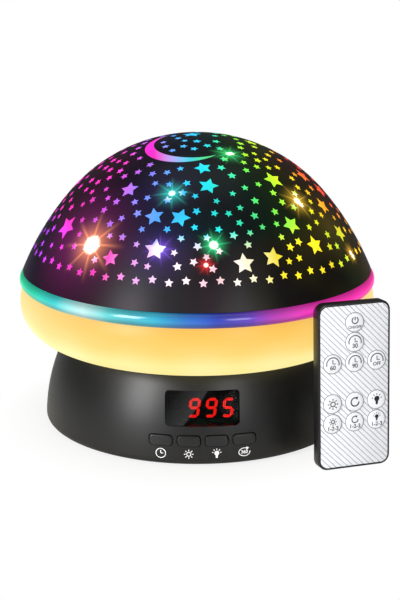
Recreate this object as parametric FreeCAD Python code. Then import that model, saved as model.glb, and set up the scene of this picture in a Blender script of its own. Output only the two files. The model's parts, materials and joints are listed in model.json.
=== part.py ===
import FreeCAD, Part
import math
import os

# Star night light projector with its card remote. All sizes are in millimetres.
# The origin is on the table under the lamp's axis, +Z is up and the front faces -Y.

V = FreeCAD.Vector
UP = V(0, 0, 1)
FRONT = V(0, -1, 0)

# General walls and clearances
wall = 2.2
running_gap = 0.05
seat_gap = 0.1
rotor_gap = 0.5
screw_r = 1.2
screw_hole_r = 1.25
screw_head_r = 2.4
screw_head_h = 1.2
screw_bite = 4.0
board_t = 1.6
led_l = 3.5
led_w = 2.8
led_h = 1.2

# Base housing: a cone with a bulging side, narrower at the top
foot_h = 1.0
base_inset = 10.84
base_side_radius = 84.7
base_top_z = 41.4
base_edge_r = 2.4
deck_lip = 3.5
base_band_count = 5
edge_band_count = 2

# Bottom cover, feet and screws
cover_t = 2.4
cover_gap = 0.3
foot_r = 5.0
foot_inset = 17.16
cover_screw_inset = 16.16
cover_boss_r = 3.5
counterbore_depth = 1.4

# Display window, digits and infrared receiver
window_w = 33.0
window_h = 15.0
window_corner_r = 2.0
window_z = 25.9
window_gap = 0.1
window_recess = 0.15
display_x = 4.1
display_w = 22.6
display_h = 13.8
display_d = 6.2
digit_count = 3
digit_h = 9.14
digit_w = 4.9
digit_pitch = 7.5
segment_w = 1.0
segment_gap = 0.12
segment_h = 0.12
digit_lean = 8.0
shown_digits = ("abcfg d", "abcfg d", "acdfg")
receiver_x = -12.0
receiver_w = 6.0
receiver_h = 7.0
receiver_d = 5.0

# Four push buttons and their switches on the upright board
button_count = 4
button_pitch = 12.3
button_w = 10.0
button_h = 4.5
button_z = 12.2
button_gap = 0.35
button_proud = 0.8
button_travel = 0.6
button_flange = 1.0
button_flange_t = 1.2
button_flange_inset = 8.6
button_corner_r = 0.9
control_board_inset = 17.2
control_board_w = 48.0
control_board_top = 33.0
switch_w = 6.0
switch_d = 3.5
switch_tip_r = 1.6
switch_slack = 0.05
rib_w = 3.0
rib_h = 6.0
rib_d = 5.0

# Main board, inlet and battery
main_board_x = 30.0
main_board_y0 = 24.0
main_board_inset = 12.7
main_board_z = 12.0
board_post_r = 2.5
board_post_in = 4.0
chip_w = 9.0
chip_t = 1.5
coil_r = 4.0
coil_h = 5.0
can_r = 3.0
can_h = 8.0
jack_w = 9.0
jack_h = 3.4
jack_d = 9.0
jack_mouth_w = 7.6
jack_mouth_h = 2.2
jack_mouth_d = 6.0
inlet_gap = 0.5
cell_r = 9.2
cell_l = 65.0
cell_y = -16.0
cell_floor = 1.2
cradle_wall = 1.8
cradle_h = 8.0
contact_t = 0.5

# Inner deck, motor and centre post
deck_t = 2.0
deck_screw_inset = 2.5
deck_boss_r = 3.2
deck_boss_h = 8.0
post_r = 6.0
post_bore_r = 3.2
post_base_r = 10.0
post_shoulder_z = 53.8
post_top_z = 76.0
post_screw_circle_r = 7.6
motor_r = 11.5
motor_h = 14.6
motor_boss_r = 4.0
motor_boss_h = 2.0
motor_ear_x = 15.0
motor_ear_r = 3.6
motor_shaft_r = 1.5
washer_t = 1.1
clip_r = 8.5
clip_t = 0.8

# Warm glowing bowl and its light board
bowl_r = 84.0
bowl_section_r = 17.5
bowl_wall = 1.8
bowl_top_z = 66.6
bowl_flange_w = 6.5
bowl_band_count = 8
bowl_inner_band_count = 5
warm_board_w = 6.4
warm_board_gap = 0.6
warm_led_count = 16

# Carrier, rainbow ring and its light board
carrier_gap = 1.0
carrier_wall_t = 2.0
carrier_edge_gap = 0.2
carrier_foot_t = 2.0
carrier_top_t = 1.8
carrier_drop = 0.2
rim_belly = 1.8
rim_band_count = 4
rim_top_z = 72.6
rgb_board_w = 21.0
rgb_board_gap = 1.0
rgb_led_inset = 4.0
rgb_led_count = 24

# Turntable with its internal gear, and the drive pinion
table_z = 73.2
table_t = 2.0
table_rib_inset = 17.5
table_rib_h = 1.0
spigot_inset = 4.0
spigot_t = 2.5
spigot_h = 3.8
hub_r = 9.0
gear_module = 1.25
ring_teeth = 48
pinion_teeth = 12
gear_face = 8.0
gear_rim_t = 3.4
pressure_angle = math.radians(20.0)
backlash = 0.32
ring_addendum = 0.7
pinion_addendum = 1.1
dedendum = 1.45
pinion_h = 6.6

# Star dome: a crown arc runs tangent into a side arc
dome_overhang = 2.4
crown_share = 0.963
crown_angle = math.radians(48.4)
side_share = 1.6287
dome_edge_z = 73.5
shell_t = 1.3
liner_t = 1.8
crown_band_count = 7
side_band_count = 5
gore_count = 32
facet_angles_deg = (7.0, 20.0, 34.0, 48.4, 56.0)
liner_seat_h = 2.0
spigot_gap = 0.4

# Star windows: heading from the front towards +X, distance from the apex, radius
front_stars = ((-60, 3.0, 4.6), (87, 25.5, 3.6), (2, 39.0, 4.0), (4, 50.5, 4.6), (44, 50.5, 5.0),
               (-38, 55.0, 4.4), (75, 54.0, 4.6), (79, 64.5, 4.6), (-20, 67.5, 4.4),
               (-9, 67.5, 4.6), (66, 70.5, 4.6), (38, 74.5, 4.6), (-62, 80.0, 5.0),
               (-17, 83.0, 5.0), (65, 85.0, 4.6), (-43, 84.5, 5.0), (45, 86.0, 4.8),
               (-33, 89.0, 4.0), (25, 88.0, 4.8), (14, 89.5, 4.8))
back_star_count = 16
back_star_start = 96.0
back_star_step = 11.5
back_star_rows = (50.0, 72.0, 86.0, 61.0)
back_star_r = 4.6
low_row_count = 33
low_row_at = 97.6
small_star_r = 2.25
star_waist = 0.5
moon_r = 33.4
moon_bite_r = 37.2
moon_bite_shift = 11.6
moon_heading = -65.0

# Projection board on top of the post
projection_r = 16.0
projection_led_circle_r = 9.5
projection_led_count = 4
projection_led_w = 5.0
projection_led_h = 1.6

# Card remote, drawn flat: X across, Z along its length and the keys face -Y
remote_w = 34.0
remote_l = 74.0
remote_t = 6.0
remote_corner_r = 4.5
remote_wall = 1.0
remote_face_t = 0.5
remote_face_inset = 1.0
remote_turn = 16.0
remote_lean = 4.0
remote_side = 43.2
remote_gap = 0.3
key_r = 4.0
key_gap = 0.15
key_proud = 0.5
key_travel = 0.3
key_plate_w = 8.6
key_plate_t = 0.5
key_column = 10.4
key_rows = (("on_off", 0, 65.4), ("timer_30", 0, 56.6), ("timer_60", -1, 47.7),
            ("timer_90", 0, 47.7), ("timer_off", 1, 47.7), ("warm_light", -1, 29.9),
            ("rotation", 0, 29.9), ("bulb_light", 1, 29.9), ("warm_level", -1, 20.9),
            ("rotation_speed", 0, 20.9), ("bulb_level", 1, 20.9))
remote_board_t = 0.8
remote_board_inset = 0.3
remote_board_y = 1.5
remote_board_z0 = 15.0
coin_r = 10.0
coin_t = 1.9
tray_w = 23.0
tray_l = 13.0
tray_t = 2.4
tray_gap = 0.2
ir_led_r = 1.5
ir_led_l = 4.0
ir_led_inset = 0.2

# Values worked out from the sizes above
base_r = bowl_r - base_inset
base_mid_r = base_r - base_side_radius
foot_circle_r = base_r - foot_inset
cover_screw_circle_r = base_r - cover_screw_inset
button_flange_y = base_r - button_flange_inset
board_y = base_r - control_board_inset
main_board_y1 = base_r - main_board_inset
cover_top = foot_h + cover_t
deck_top = base_top_z + deck_t
bowl_mid_r = bowl_r - bowl_section_r
bowl_mid_z = base_top_z + bowl_section_r
bowl_rise = bowl_top_z - bowl_mid_z
bowl_lip_out_r = bowl_mid_r + math.sqrt(bowl_section_r ** 2 - bowl_rise ** 2)
bowl_lip_in_r = bowl_mid_r + math.sqrt((bowl_section_r - bowl_wall) ** 2 - bowl_rise ** 2)
bowl_flange_in_r = bowl_mid_r - bowl_flange_w
warm_board_r1 = bowl_flange_in_r - warm_board_gap
warm_board_r0 = warm_board_r1 - warm_board_w
carrier_wall_r = warm_board_r0 - carrier_gap - carrier_wall_t
deck_screw_circle_r = carrier_wall_r - deck_screw_inset
base_deck_hole_r = deck_screw_circle_r - deck_lip
carrier_top = bowl_top_z - carrier_drop
rim_in_r = bowl_lip_in_r - seat_gap
gear_z0 = table_z - table_t - gear_face
gear_centre = gear_module * (ring_teeth - pinion_teeth) / 2
washer_top = post_shoulder_z + washer_t
hub_z0 = washer_top + seat_gap
pinion_z0 = gear_z0 + (gear_face - pinion_h) / 2
table_r = rim_in_r - rotor_gap
dome_edge_r = rim_in_r + dome_overhang
crown_r = crown_share * dome_edge_r
side_r = side_share * dome_edge_r
side_x = -(side_r - crown_r) * math.sin(crown_angle)
side_z = dome_edge_z - math.sqrt(side_r ** 2 - (dome_edge_r - side_x) ** 2)
crown_z = side_z + (side_r - crown_r) * math.cos(crown_angle)
dome_top_z = crown_z + crown_r
spigot_r = table_r - spigot_inset
edge_angle = math.acos((dome_edge_z - side_z) / side_r)
key_places = {name: (column * key_column, z) for name, column, z in key_rows}

parts = {}


def disc(radius, z0, z1, x=0.0, y=0.0):
    return Part.makeCylinder(radius, z1 - z0, V(x, y, z0))


def ring(r_in, r_out, z0, z1):
    return disc(r_out, z0, z1).cut(disc(r_in, z0 - 1, z1 + 1))


def block(x0, x1, y0, y1, z0, z1):
    return Part.makeBox(x1 - x0, y1 - y0, z1 - z0, V(x0, y0, z0))


def rz(radius, z):
    return V(radius, 0, z)


def turned_outline(points):
    """Solid turned about Z from an outline in the XZ plane, closed by its last side."""
    return Part.Face(Part.makePolygon(points + [points[0]])).revolve(V(0, 0, 0), UP, 360)


def arc_outline(x, z, radius, start_deg, end_deg, bands):
    """Points along a round stretch about (x, z), by angle from +X towards +Z."""
    turns = [math.radians(start_deg + (end_deg - start_deg) * i / bands)
             for i in range(bands + 1)]
    return [rz(x + radius * math.cos(t), z + radius * math.sin(t)) for t in turns]


def around(count, radius, start_deg=0.0):
    """Places evenly spread on a circle, with their headings in degrees."""
    for i in range(count):
        heading = start_deg + 360.0 * i / count
        yield (radius * math.cos(math.radians(heading)),
               radius * math.sin(math.radians(heading)), heading)


def rounded_prism(x0, x1, y0, y1, z0, z1, radius):
    """Bar along Y whose four long edges are rounded."""
    bar = block(x0, x1, y0, y1, z0, z1)
    long_edges = [e for e in bar.Edges
                  if abs(e.Vertexes[0].Y - e.Vertexes[1].Y) > (y1 - y0) / 2]
    return bar.makeFillet(radius, long_edges)


# Base

def base_radius(z, grow=0.0):
    """Radius of the base's outer side at a height, moved out by grow."""
    return base_mid_r + math.sqrt((base_side_radius + grow) ** 2 - z ** 2)


def base_body(grow, z0, z1):
    """Solid inside the base's side between two heights, in short cone bands."""
    levels = [z0 + (z1 - z0) * i / base_band_count for i in range(base_band_count + 1)]
    return turned_outline([rz(0, z0)] + [rz(base_radius(z, grow), z) for z in levels]
                          + [rz(0, z1)])


def button_x(i):
    return (i - (button_count - 1) / 2) * button_pitch


def window_bar(gap, y0, y1):
    return rounded_prism(-window_w / 2 + gap, window_w / 2 - gap, y0, y1,
                         window_z - window_h / 2 + gap, window_z + window_h / 2 - gap,
                         window_corner_r - gap)


def button_bar(x, grow, y0, y1):
    return rounded_prism(x - button_w / 2 - grow, x + button_w / 2 + grow, y0, y1,
                         button_z - button_h / 2 - grow, button_z + button_h / 2 + grow,
                         button_corner_r + grow)


cover_r = base_radius(foot_h) - base_edge_r - wall + cover_gap
jack_z0 = main_board_z + board_t
jack_y1 = main_board_y1 + jack_d - 1.0


def base_housing():
    round_z = foot_h + base_edge_r
    edge = arc_outline(base_radius(round_z) - base_edge_r, round_z, base_edge_r,
                       -90.0, 0.0, edge_band_count)
    levels = [round_z + (base_top_z - round_z) * i / base_band_count
              for i in range(1, base_band_count + 1)]
    side = [rz(base_radius(z), z) for z in levels]
    body = turned_outline([rz(0, foot_h)] + edge + side + [rz(0, base_top_z)])
    body = body.cut(base_body(-wall, cover_top, base_top_z - wall))
    body = body.cut(disc(cover_r + seat_gap, 0, cover_top))
    body = body.cut(disc(base_deck_hole_r, base_top_z - 2 * wall, base_top_z + 1))
    for x, y, heading in around(4, cover_screw_circle_r, 45):
        body = body.fuse(disc(cover_boss_r, cover_top, base_top_z - wall, x, y))
        body = body.cut(disc(screw_hole_r, cover_top, cover_top + screw_bite + 1, x, y))
    for x, y, heading in around(4, deck_screw_circle_r, 0):
        body = body.fuse(disc(deck_boss_r, base_top_z - wall - deck_boss_h,
                              base_top_z - wall, x, y))
        body = body.cut(disc(screw_hole_r, base_top_z - wall - deck_boss_h + 1,
                             base_top_z + 1, x, y))
    front = -base_r - 5
    back = -base_r + 22
    body = body.cut(window_bar(0, front, back))
    for i in range(button_count):
        body = body.cut(button_bar(button_x(i), button_gap, front, back))
    inlet = block(-jack_w / 2 - inlet_gap, jack_w / 2 + inlet_gap, jack_y1 - 3, base_r + 5,
                  jack_z0 - inlet_gap, jack_z0 + jack_h + inlet_gap)
    return body.cut(inlet)


def window_lens():
    skin = base_body(-window_recess, cover_top, base_top_z - 1)
    skin = skin.cut(base_body(-wall, cover_top - 1, base_top_z))
    return skin.common(window_bar(window_gap, -base_r - 5, -base_r + 22))


def button(i):
    """Cap in its hole, with a wider flange behind the wall that keeps it in."""
    x = button_x(i)
    cap = button_bar(x, 0, -base_r - 5, -button_flange_y)
    cap = cap.common(base_body(button_proud, foot_h, base_top_z - 1))
    flange = block(x - button_w / 2 - button_flange, x + button_w / 2 + button_flange,
                   -button_flange_y, -button_flange_y + button_flange_t,
                   button_z - button_h / 2 - button_flange,
                   button_z + button_h / 2 + button_flange)
    return cap.fuse(flange).removeSplitter()


def control_board():
    return block(-control_board_w / 2, control_board_w / 2, -board_y, -board_y + board_t,
                 cover_top, control_board_top)


def tact_switches():
    tip = button_flange_y - button_flange_t - button_travel - switch_slack
    made = []
    for i in range(button_count):
        x = button_x(i)
        body = block(x - switch_w / 2, x + switch_w / 2, -board_y - switch_d, -board_y,
                     button_z - switch_w / 2, button_z + switch_w / 2)
        stem = Part.makeCylinder(switch_tip_r, tip - board_y, V(x, -board_y, button_z), FRONT)
        made.append(body.fuse(stem))
    return Part.makeCompound(made)


def display_module():
    return block(display_x - display_w / 2, display_x + display_w / 2, -board_y - display_d,
                 -board_y, window_z - display_h / 2, window_z + display_h / 2)


def ir_receiver():
    """Square moulding with the round lens that such a receiver has on its face."""
    y0 = -board_y - receiver_d
    body = block(receiver_x - receiver_w / 2, receiver_x + receiver_w / 2, y0 + 1.5,
                 -board_y, window_z - receiver_h / 2, window_z + receiver_h / 2)
    dome = Part.makeSphere(receiver_w / 2 - 0.5, V(receiver_x, y0 + 2.5, window_z))
    return body.fuse(dome)


def segment_centres():
    """Middle and direction of the seven bars of one digit, by letter."""
    half_w = (digit_w - segment_w) / 2
    quarter = (digit_h - segment_w) / 4
    return {"a": (0, 2 * quarter, 0), "b": (half_w, quarter, 1), "c": (half_w, -quarter, 1),
            "d": (0, -2 * quarter, 0), "e": (-half_w, -quarter, 1), "f": (-half_w, quarter, 1),
            "g": (0, 0, 0)}


def segment(digit, letter):
    """Six-sided bar of one digit, standing proud of the module's face."""
    u, v, upright = segment_centres()[letter]
    length = (digit_h - segment_w) / 2 if upright else digit_w - segment_w
    half = length / 2 - segment_gap
    nose = segment_w / 2
    outline = ((-half, 0), (-half + nose, nose), (half - nose, nose), (half, 0),
               (half - nose, -nose), (-half + nose, -nose))
    x0 = display_x + (digit - (digit_count - 1) / 2) * digit_pitch
    slope = math.tan(math.radians(digit_lean))
    points = []
    for along, across in outline:
        px, pz = (across, along) if upright else (along, across)
        points.append(V(x0 + u + px + (v + pz) * slope, -board_y - display_d, window_z + v + pz))
    points.append(points[0])
    return Part.Face(Part.makePolygon(points)).extrude(V(0, -segment_h, 0))


def digit_segments(lit):
    return Part.makeCompound([segment(d, s) for d in range(digit_count) for s in "abcdefg"
                              if (s in shown_digits[d]) == lit])


def bottom_cover():
    plate = disc(cover_r, foot_h, cover_top)
    for x, y, heading in around(4, cover_screw_circle_r, 45):
        plate = plate.cut(disc(screw_hole_r, foot_h - 1, cover_top + 1, x, y))
        plate = plate.cut(disc(screw_head_r + seat_gap, foot_h - 1,
                               foot_h + counterbore_depth, x, y))
    for side in (-1, 1):
        x = side * (control_board_w / 2 - rib_w)
        plate = plate.fuse(block(x - rib_w / 2, x + rib_w / 2, -board_y + board_t,
                                 -board_y + board_t + rib_d, cover_top, cover_top + rib_h))
    for x in (-main_board_x + board_post_in, main_board_x - board_post_in):
        for y in (main_board_y0 + board_post_in, main_board_y1 - 2 * board_post_in):
            plate = plate.fuse(disc(board_post_r, cover_top, main_board_z, x, y))
    return plate


def rubber_feet():
    return Part.makeCompound([disc(foot_r, 0, foot_h, x, y)
                              for x, y, heading in around(4, foot_circle_r, 0)])


def cover_screws():
    made = []
    for x, y, heading in around(4, cover_screw_circle_r, 45):
        head_top = foot_h + counterbore_depth
        head = disc(screw_head_r, head_top - screw_head_h, head_top, x, y)
        made.append(head.fuse(disc(screw_r, head_top, cover_top + screw_bite, x, y)))
    return Part.makeCompound(made)


def main_board():
    board = block(-main_board_x, main_board_x, main_board_y0, main_board_y1,
                  main_board_z, main_board_z + board_t)
    top = main_board_z + board_t
    mid_y = (main_board_y0 + main_board_y1) / 2
    chip = block(-2 * chip_w, -chip_w, mid_y - chip_w / 2, mid_y + chip_w / 2, top, top + chip_t)
    coil = disc(coil_r, top, top + coil_h, 2 * coil_r, mid_y)
    can = disc(can_r, top, top + can_h, main_board_x - 2 * can_r, mid_y)
    return board.fuse([chip, coil, can])


def power_jack():
    shell = block(-jack_w / 2, jack_w / 2, jack_y1 - jack_d, jack_y1, jack_z0, jack_z0 + jack_h)
    mid = jack_z0 + jack_h / 2
    mouth = block(-jack_mouth_w / 2, jack_mouth_w / 2, jack_y1 - jack_mouth_d, jack_y1 + 1,
                  mid - jack_mouth_h / 2, mid + jack_mouth_h / 2)
    tongue = block(-jack_mouth_w / 2 + 1, jack_mouth_w / 2 - 1, jack_y1 - jack_mouth_d,
                   jack_y1 - 1, mid - 0.35, mid + 0.35)
    return shell.cut(mouth).fuse(tongue)


cell_z = cover_top + cell_floor + cell_r


def battery_cell():
    can = Part.makeCylinder(cell_r, cell_l, V(-cell_l / 2, cell_y, cell_z), V(1, 0, 0))
    return can


def battery_cradle():
    reach = cell_l / 2 + contact_t + cradle_wall
    half = cell_r + seat_gap
    body = block(-reach, reach, cell_y - half + 1, cell_y + half - 1, cover_top,
                 cover_top + cradle_h)
    trough = Part.makeCylinder(half, cell_l + 2 * contact_t,
                               V(-cell_l / 2 - contact_t, cell_y, cell_z), V(1, 0, 0))
    body = body.cut(trough)
    for side in (-1, 1):
        x0 = min(side * reach, side * (reach - cradle_wall))
        body = body.fuse(block(x0, x0 + cradle_wall, cell_y - half + 1, cell_y + half - 1,
                               cover_top, cell_z + 5))
    return body


def battery_contacts():
    made = []
    for side in (-1, 1):
        x0 = min(side * cell_l / 2, side * (cell_l / 2 + contact_t))
        made.append(block(x0, x0 + contact_t, cell_y - 5, cell_y + 5, cell_z - 5, cell_z + 5))
    return Part.makeCompound(made)


# Deck, post and motor

def inner_deck():
    plate = disc(bowl_flange_in_r - cover_gap, base_top_z, deck_top)
    holes = [disc(screw_hole_r, base_top_z - 1, deck_top + 1, x, y)
             for x, y, heading in around(4, deck_screw_circle_r, 0)]
    holes += [disc(screw_hole_r, base_top_z - 1, deck_top + 1, x, y)
              for x, y, heading in around(3, post_screw_circle_r, 90)]
    holes += [disc(screw_hole_r, base_top_z - 1, deck_top + 1, side * motor_ear_x, gear_centre)
              for side in (-1, 1)]
    holes.append(disc(post_bore_r, base_top_z - 1, deck_top + 1))
    return plate.cut(holes)


def center_post():
    body = disc(post_base_r, deck_top, post_shoulder_z).fuse(disc(post_r, deck_top, post_top_z))
    body = body.cut(disc(post_bore_r, deck_top - 1, post_top_z + 1))
    return body.cut([disc(screw_hole_r, deck_top - 1, deck_top + 7, x, y)
                     for x, y, heading in around(3, post_screw_circle_r, 90)])


def deck_screws():
    made = []
    foot_top = deck_top + carrier_foot_t
    for x, y, heading in around(4, deck_screw_circle_r, 0):
        made.append(disc(screw_head_r, foot_top, foot_top + screw_head_h, x, y).fuse(
            disc(screw_r, base_top_z - wall - screw_bite, foot_top, x, y)))
    for x, y, heading in around(3, post_screw_circle_r, 90):
        made.append(disc(screw_r + 0.8, base_top_z - screw_head_h, base_top_z, x, y).fuse(
            disc(screw_r, base_top_z, deck_top + screw_bite, x, y)))
    return Part.makeCompound(made)


motor_top = deck_top + motor_h


def motor():
    can = disc(motor_r, deck_top, motor_top, 0, gear_centre)
    boss = disc(motor_boss_r, motor_top, motor_top + motor_boss_h, 0, gear_centre)
    plate = block(-motor_ear_x, motor_ear_x, gear_centre - motor_ear_r,
                  gear_centre + motor_ear_r, deck_top, deck_top + 1)
    ears = [disc(motor_ear_r, deck_top, deck_top + 1, side * motor_ear_x, gear_centre)
            for side in (-1, 1)]
    body = can.fuse([boss, plate] + ears)
    bearing = disc(motor_shaft_r + running_gap, motor_top - 3, motor_top + motor_boss_h + 1,
                   0, gear_centre)
    return body.cut([bearing] + [disc(screw_hole_r, deck_top - 1, deck_top + 2,
                                      side * motor_ear_x, gear_centre) for side in (-1, 1)])


def motor_screws():
    top = deck_top + 1
    return Part.makeCompound([
        disc(screw_head_r, top, top + screw_head_h, side * motor_ear_x, gear_centre).fuse(
            disc(screw_r, base_top_z - 3, top, side * motor_ear_x, gear_centre))
        for side in (-1, 1)])


# Gears

def involute_half_angle(teeth, radius, thickness):
    """Half the angle that a tooth of given pitch thickness covers at a radius."""
    pitch_r = gear_module * teeth / 2
    ratio = min(1.0, pitch_r * math.cos(pressure_angle) / radius)
    flank = math.acos(ratio)
    involute = math.tan(pressure_angle) - pressure_angle - (math.tan(flank) - flank)
    return thickness / (2 * pitch_r) + involute


def toothed_face(teeth, inner_r, outer_r, thickness, levels=2):
    """Flat face with involute teeth between two radii, the first tooth on +X."""
    points = []
    for k in range(teeth):
        centre = 2 * math.pi * k / teeth
        radii = [inner_r + (outer_r - inner_r) * j / levels for j in range(levels + 1)]
        halves = [involute_half_angle(teeth, r, thickness) for r in radii]
        flank = [(r, centre - h) for r, h in zip(radii, halves)]
        flank += [(r, centre + h) for r, h in reversed(list(zip(radii, halves)))]
        points += [V(r * math.cos(a), r * math.sin(a), 0) for r, a in flank]
    points.append(points[0])
    return Part.Face(Part.makePolygon(points))


def ring_gear():
    pitch_r = gear_module * ring_teeth / 2
    gap_width = math.pi * gear_module / 2 + backlash / 2
    hollow = toothed_face(ring_teeth, pitch_r - ring_addendum, pitch_r + dedendum, gap_width)
    hollow = hollow.extrude(UP * gear_face)
    hollow.translate(UP * gear_z0)
    return disc(pitch_r + dedendum + gear_rim_t, gear_z0, gear_z0 + gear_face).cut(hollow)


def drive_pinion():
    pitch_r = gear_module * pinion_teeth / 2
    tooth_width = math.pi * gear_module / 2 - backlash / 2
    body = toothed_face(pinion_teeth, pitch_r - dedendum, pitch_r + pinion_addendum,
                        tooth_width).extrude(UP * pinion_h)
    body.translate(V(0, gear_centre, pinion_z0))
    return body.cut(disc(motor_shaft_r, pinion_z0 - 1, pinion_z0 + pinion_h + 1,
                         0, gear_centre))


def pinion_shaft():
    return disc(motor_shaft_r, motor_top - 2.5, pinion_z0 + pinion_h, 0, gear_centre)


def turntable():
    web = disc(table_r, table_z - table_t, table_z)
    rib_r = table_r - table_rib_inset
    rib = ring(rib_r, rib_r + wall, table_z - table_t - table_rib_h, table_z - table_t)
    spigot = ring(spigot_r - spigot_t, spigot_r, table_z, table_z + spigot_h)
    hub = disc(hub_r, hub_z0, table_z)
    body = web.fuse([rib, spigot, hub, ring_gear()])
    return body.cut(disc(post_r + running_gap, hub_z0 - 1, table_z + 1)).removeSplitter()


def thrust_washer():
    return ring(post_r + seat_gap, hub_r, post_shoulder_z, washer_top)


def retaining_clip():
    z0 = table_z + 0.3
    body = ring(post_r, clip_r, z0, z0 + clip_t)
    return body.cut(block(-post_r / 2, post_r / 2, 0, clip_r + 1, z0 - 1, z0 + clip_t + 1))


def projection_board():
    return disc(projection_r, post_top_z, post_top_z + board_t)


def led(x, y, heading, z0, length, width, height):
    chip = block(-width / 2, width / 2, -length / 2, length / 2, 0, height)
    chip.rotate(V(0, 0, 0), UP, heading)
    chip.translate(V(x, y, z0))
    return chip


def projection_leds():
    size = projection_led_w
    return Part.makeCompound([
        led(x, y, heading, post_top_z + board_t, size, size, projection_led_h)
        for x, y, heading in around(projection_led_count, projection_led_circle_r, 45)])


# Glowing bowl, carrier and rainbow ring

def diffuser_bowl():
    inner_radius = bowl_section_r - bowl_wall
    outer_end = math.degrees(math.asin(bowl_rise / bowl_section_r))
    inner_end = math.degrees(math.asin(bowl_rise / inner_radius))
    outer = arc_outline(bowl_mid_r, bowl_mid_z, bowl_section_r, -90.0, outer_end,
                        bowl_band_count)
    inner = arc_outline(bowl_mid_r, bowl_mid_z, inner_radius, inner_end, -90.0,
                        bowl_inner_band_count)
    return turned_outline([rz(bowl_flange_in_r, base_top_z)] + outer + inner
                          + [rz(bowl_flange_in_r, base_top_z + bowl_wall)])


def warm_led_board():
    return ring(warm_board_r0, warm_board_r1, deck_top, deck_top + board_t)


def led_circle(count, radius, z0):
    return Part.makeCompound([led(x, y, heading, z0, led_l, led_w, led_h)
                              for x, y, heading in around(count, radius, 180.0 / count)])


def ring_carrier():
    wall_out = carrier_wall_r + carrier_wall_t
    body = ring(carrier_wall_r, wall_out, deck_top, carrier_top)
    foot = ring(base_deck_hole_r, carrier_wall_r + carrier_wall_t / 2, deck_top, deck_top + carrier_foot_t)
    top = ring(carrier_wall_r, rim_in_r - carrier_edge_gap, carrier_top - carrier_top_t, carrier_top)
    body = body.fuse([foot, top]).removeSplitter()
    return body.cut([disc(screw_hole_r, deck_top - 1, deck_top + carrier_foot_t + 1, x, y)
                     for x, y, heading in around(4, deck_screw_circle_r, 0)])


def rainbow_ring():
    half = (rim_top_z - bowl_top_z) / 2
    radius = (half ** 2 + rim_belly ** 2) / (2 * rim_belly)
    sweep = math.degrees(math.asin(half / radius))
    side = arc_outline(bowl_lip_out_r + rim_belly - radius, bowl_top_z + half, radius,
                       -sweep, sweep, rim_band_count)
    return turned_outline([rz(rim_in_r, bowl_top_z)] + side + [rz(rim_in_r, rim_top_z)])


def rgb_led_board():
    edge = rim_in_r - rgb_board_gap
    return ring(edge - rgb_board_w, edge, carrier_top, carrier_top + board_t)


# Star dome

def dome_point(angle, inset=0.0):
    """Point of the dome's profile at an angle from the axis, moved in by inset."""
    if angle <= crown_angle:
        reach = crown_r - inset
        return rz(reach * math.sin(angle), crown_z + reach * math.cos(angle))
    reach = side_r - inset
    return rz(side_x + reach * math.sin(angle), side_z + reach * math.cos(angle))


def dome_angle(distance):
    """Profile angle at a distance from the apex along the shell."""
    crown_length = crown_r * crown_angle
    if distance <= crown_length:
        return distance / crown_r
    return crown_angle + (distance - crown_length) / side_r


def dome_body():
    """Solid inside the dome's outer face, in short cone bands along both arcs."""
    angles = [crown_angle * i / crown_band_count for i in range(crown_band_count + 1)]
    step = (edge_angle - crown_angle) / side_band_count
    angles += [crown_angle + step * i for i in range(1, side_band_count + 1)]
    points = [dome_point(a) for a in angles]
    return turned_outline(points + [rz(0, points[-1].z)])


def faceted_body(inset, z0):
    """Solid of flat facets whose corners lie under the dome's outer face by inset."""
    angles = [math.radians(a) for a in facet_angles_deg]
    profile = [dome_point(a, inset) for a in angles]
    low = side_x + math.sqrt((side_r - inset) ** 2 - (z0 - side_z) ** 2)
    profile.append(rz(low, z0))

    def corner(row, gore):
        turn = 2 * math.pi * gore / gore_count
        point = profile[row]
        return V(point.x * math.cos(turn), point.x * math.sin(turn), point.z)

    def polygon(points):
        return Part.Face(Part.makePolygon(points + [points[0]]))

    faces = [polygon([corner(0, g) for g in range(gore_count)]),
             polygon([corner(len(profile) - 1, g) for g in range(gore_count)])]
    for row in range(len(profile) - 1):
        for g in range(gore_count):
            faces.append(polygon([corner(row, g), corner(row, g + 1),
                                  corner(row + 1, g + 1), corner(row + 1, g)]))
    shell = Part.makeShell(faces)
    shell.sewShape()
    body = Part.makeSolid(Part.Shell(shell.Faces))
    return body if body.Volume > 0 else body.reversed()


def on_dome(tool, angle, heading_deg):
    """Stands a tool drawn about Z on the dome's face, at a place on the shell."""
    point = dome_point(angle)
    tool.rotate(V(0, 0, 0), V(0, 1, 0), math.degrees(angle))
    tool.translate(point)
    tool.rotate(V(0, 0, 0), UP, heading_deg)
    return tool


def star_prism(radius, spin_deg, depth):
    points = []
    for k in range(11):
        reach = radius if k % 2 == 0 else radius * star_waist
        turn = math.radians(spin_deg + 36.0 * k)
        points.append(V(reach * math.cos(turn), reach * math.sin(turn), -depth))
    return Part.Face(Part.makePolygon(points)).extrude(UP * (2 * depth))


def moon_prism(z0, z1):
    """Crescent seen from above, thickest at its heading."""
    bite = disc(moon_bite_r, z0 - 1, z1 + 1, -moon_bite_shift)
    crescent = disc(moon_r, z0, z1).cut(bite)
    crescent.rotate(V(0, 0, 0), UP, moon_heading - 90)
    return crescent


def star_places():
    """Each star's heading from the front, distance from the apex, radius and spin."""
    for i, (heading, distance, radius) in enumerate(front_stars):
        yield heading, distance, radius, 180 + 17 * (i % 3 - 1)
    for k in range(back_star_count):
        heading = back_star_start + back_star_step * k
        distance = back_star_rows[k % len(back_star_rows)]
        yield heading, distance, back_star_r, 180 + 17 * (k % 3 - 1)
    for k in range(low_row_count):
        yield 360.0 * k / low_row_count, low_row_at, small_star_r, 180


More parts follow.
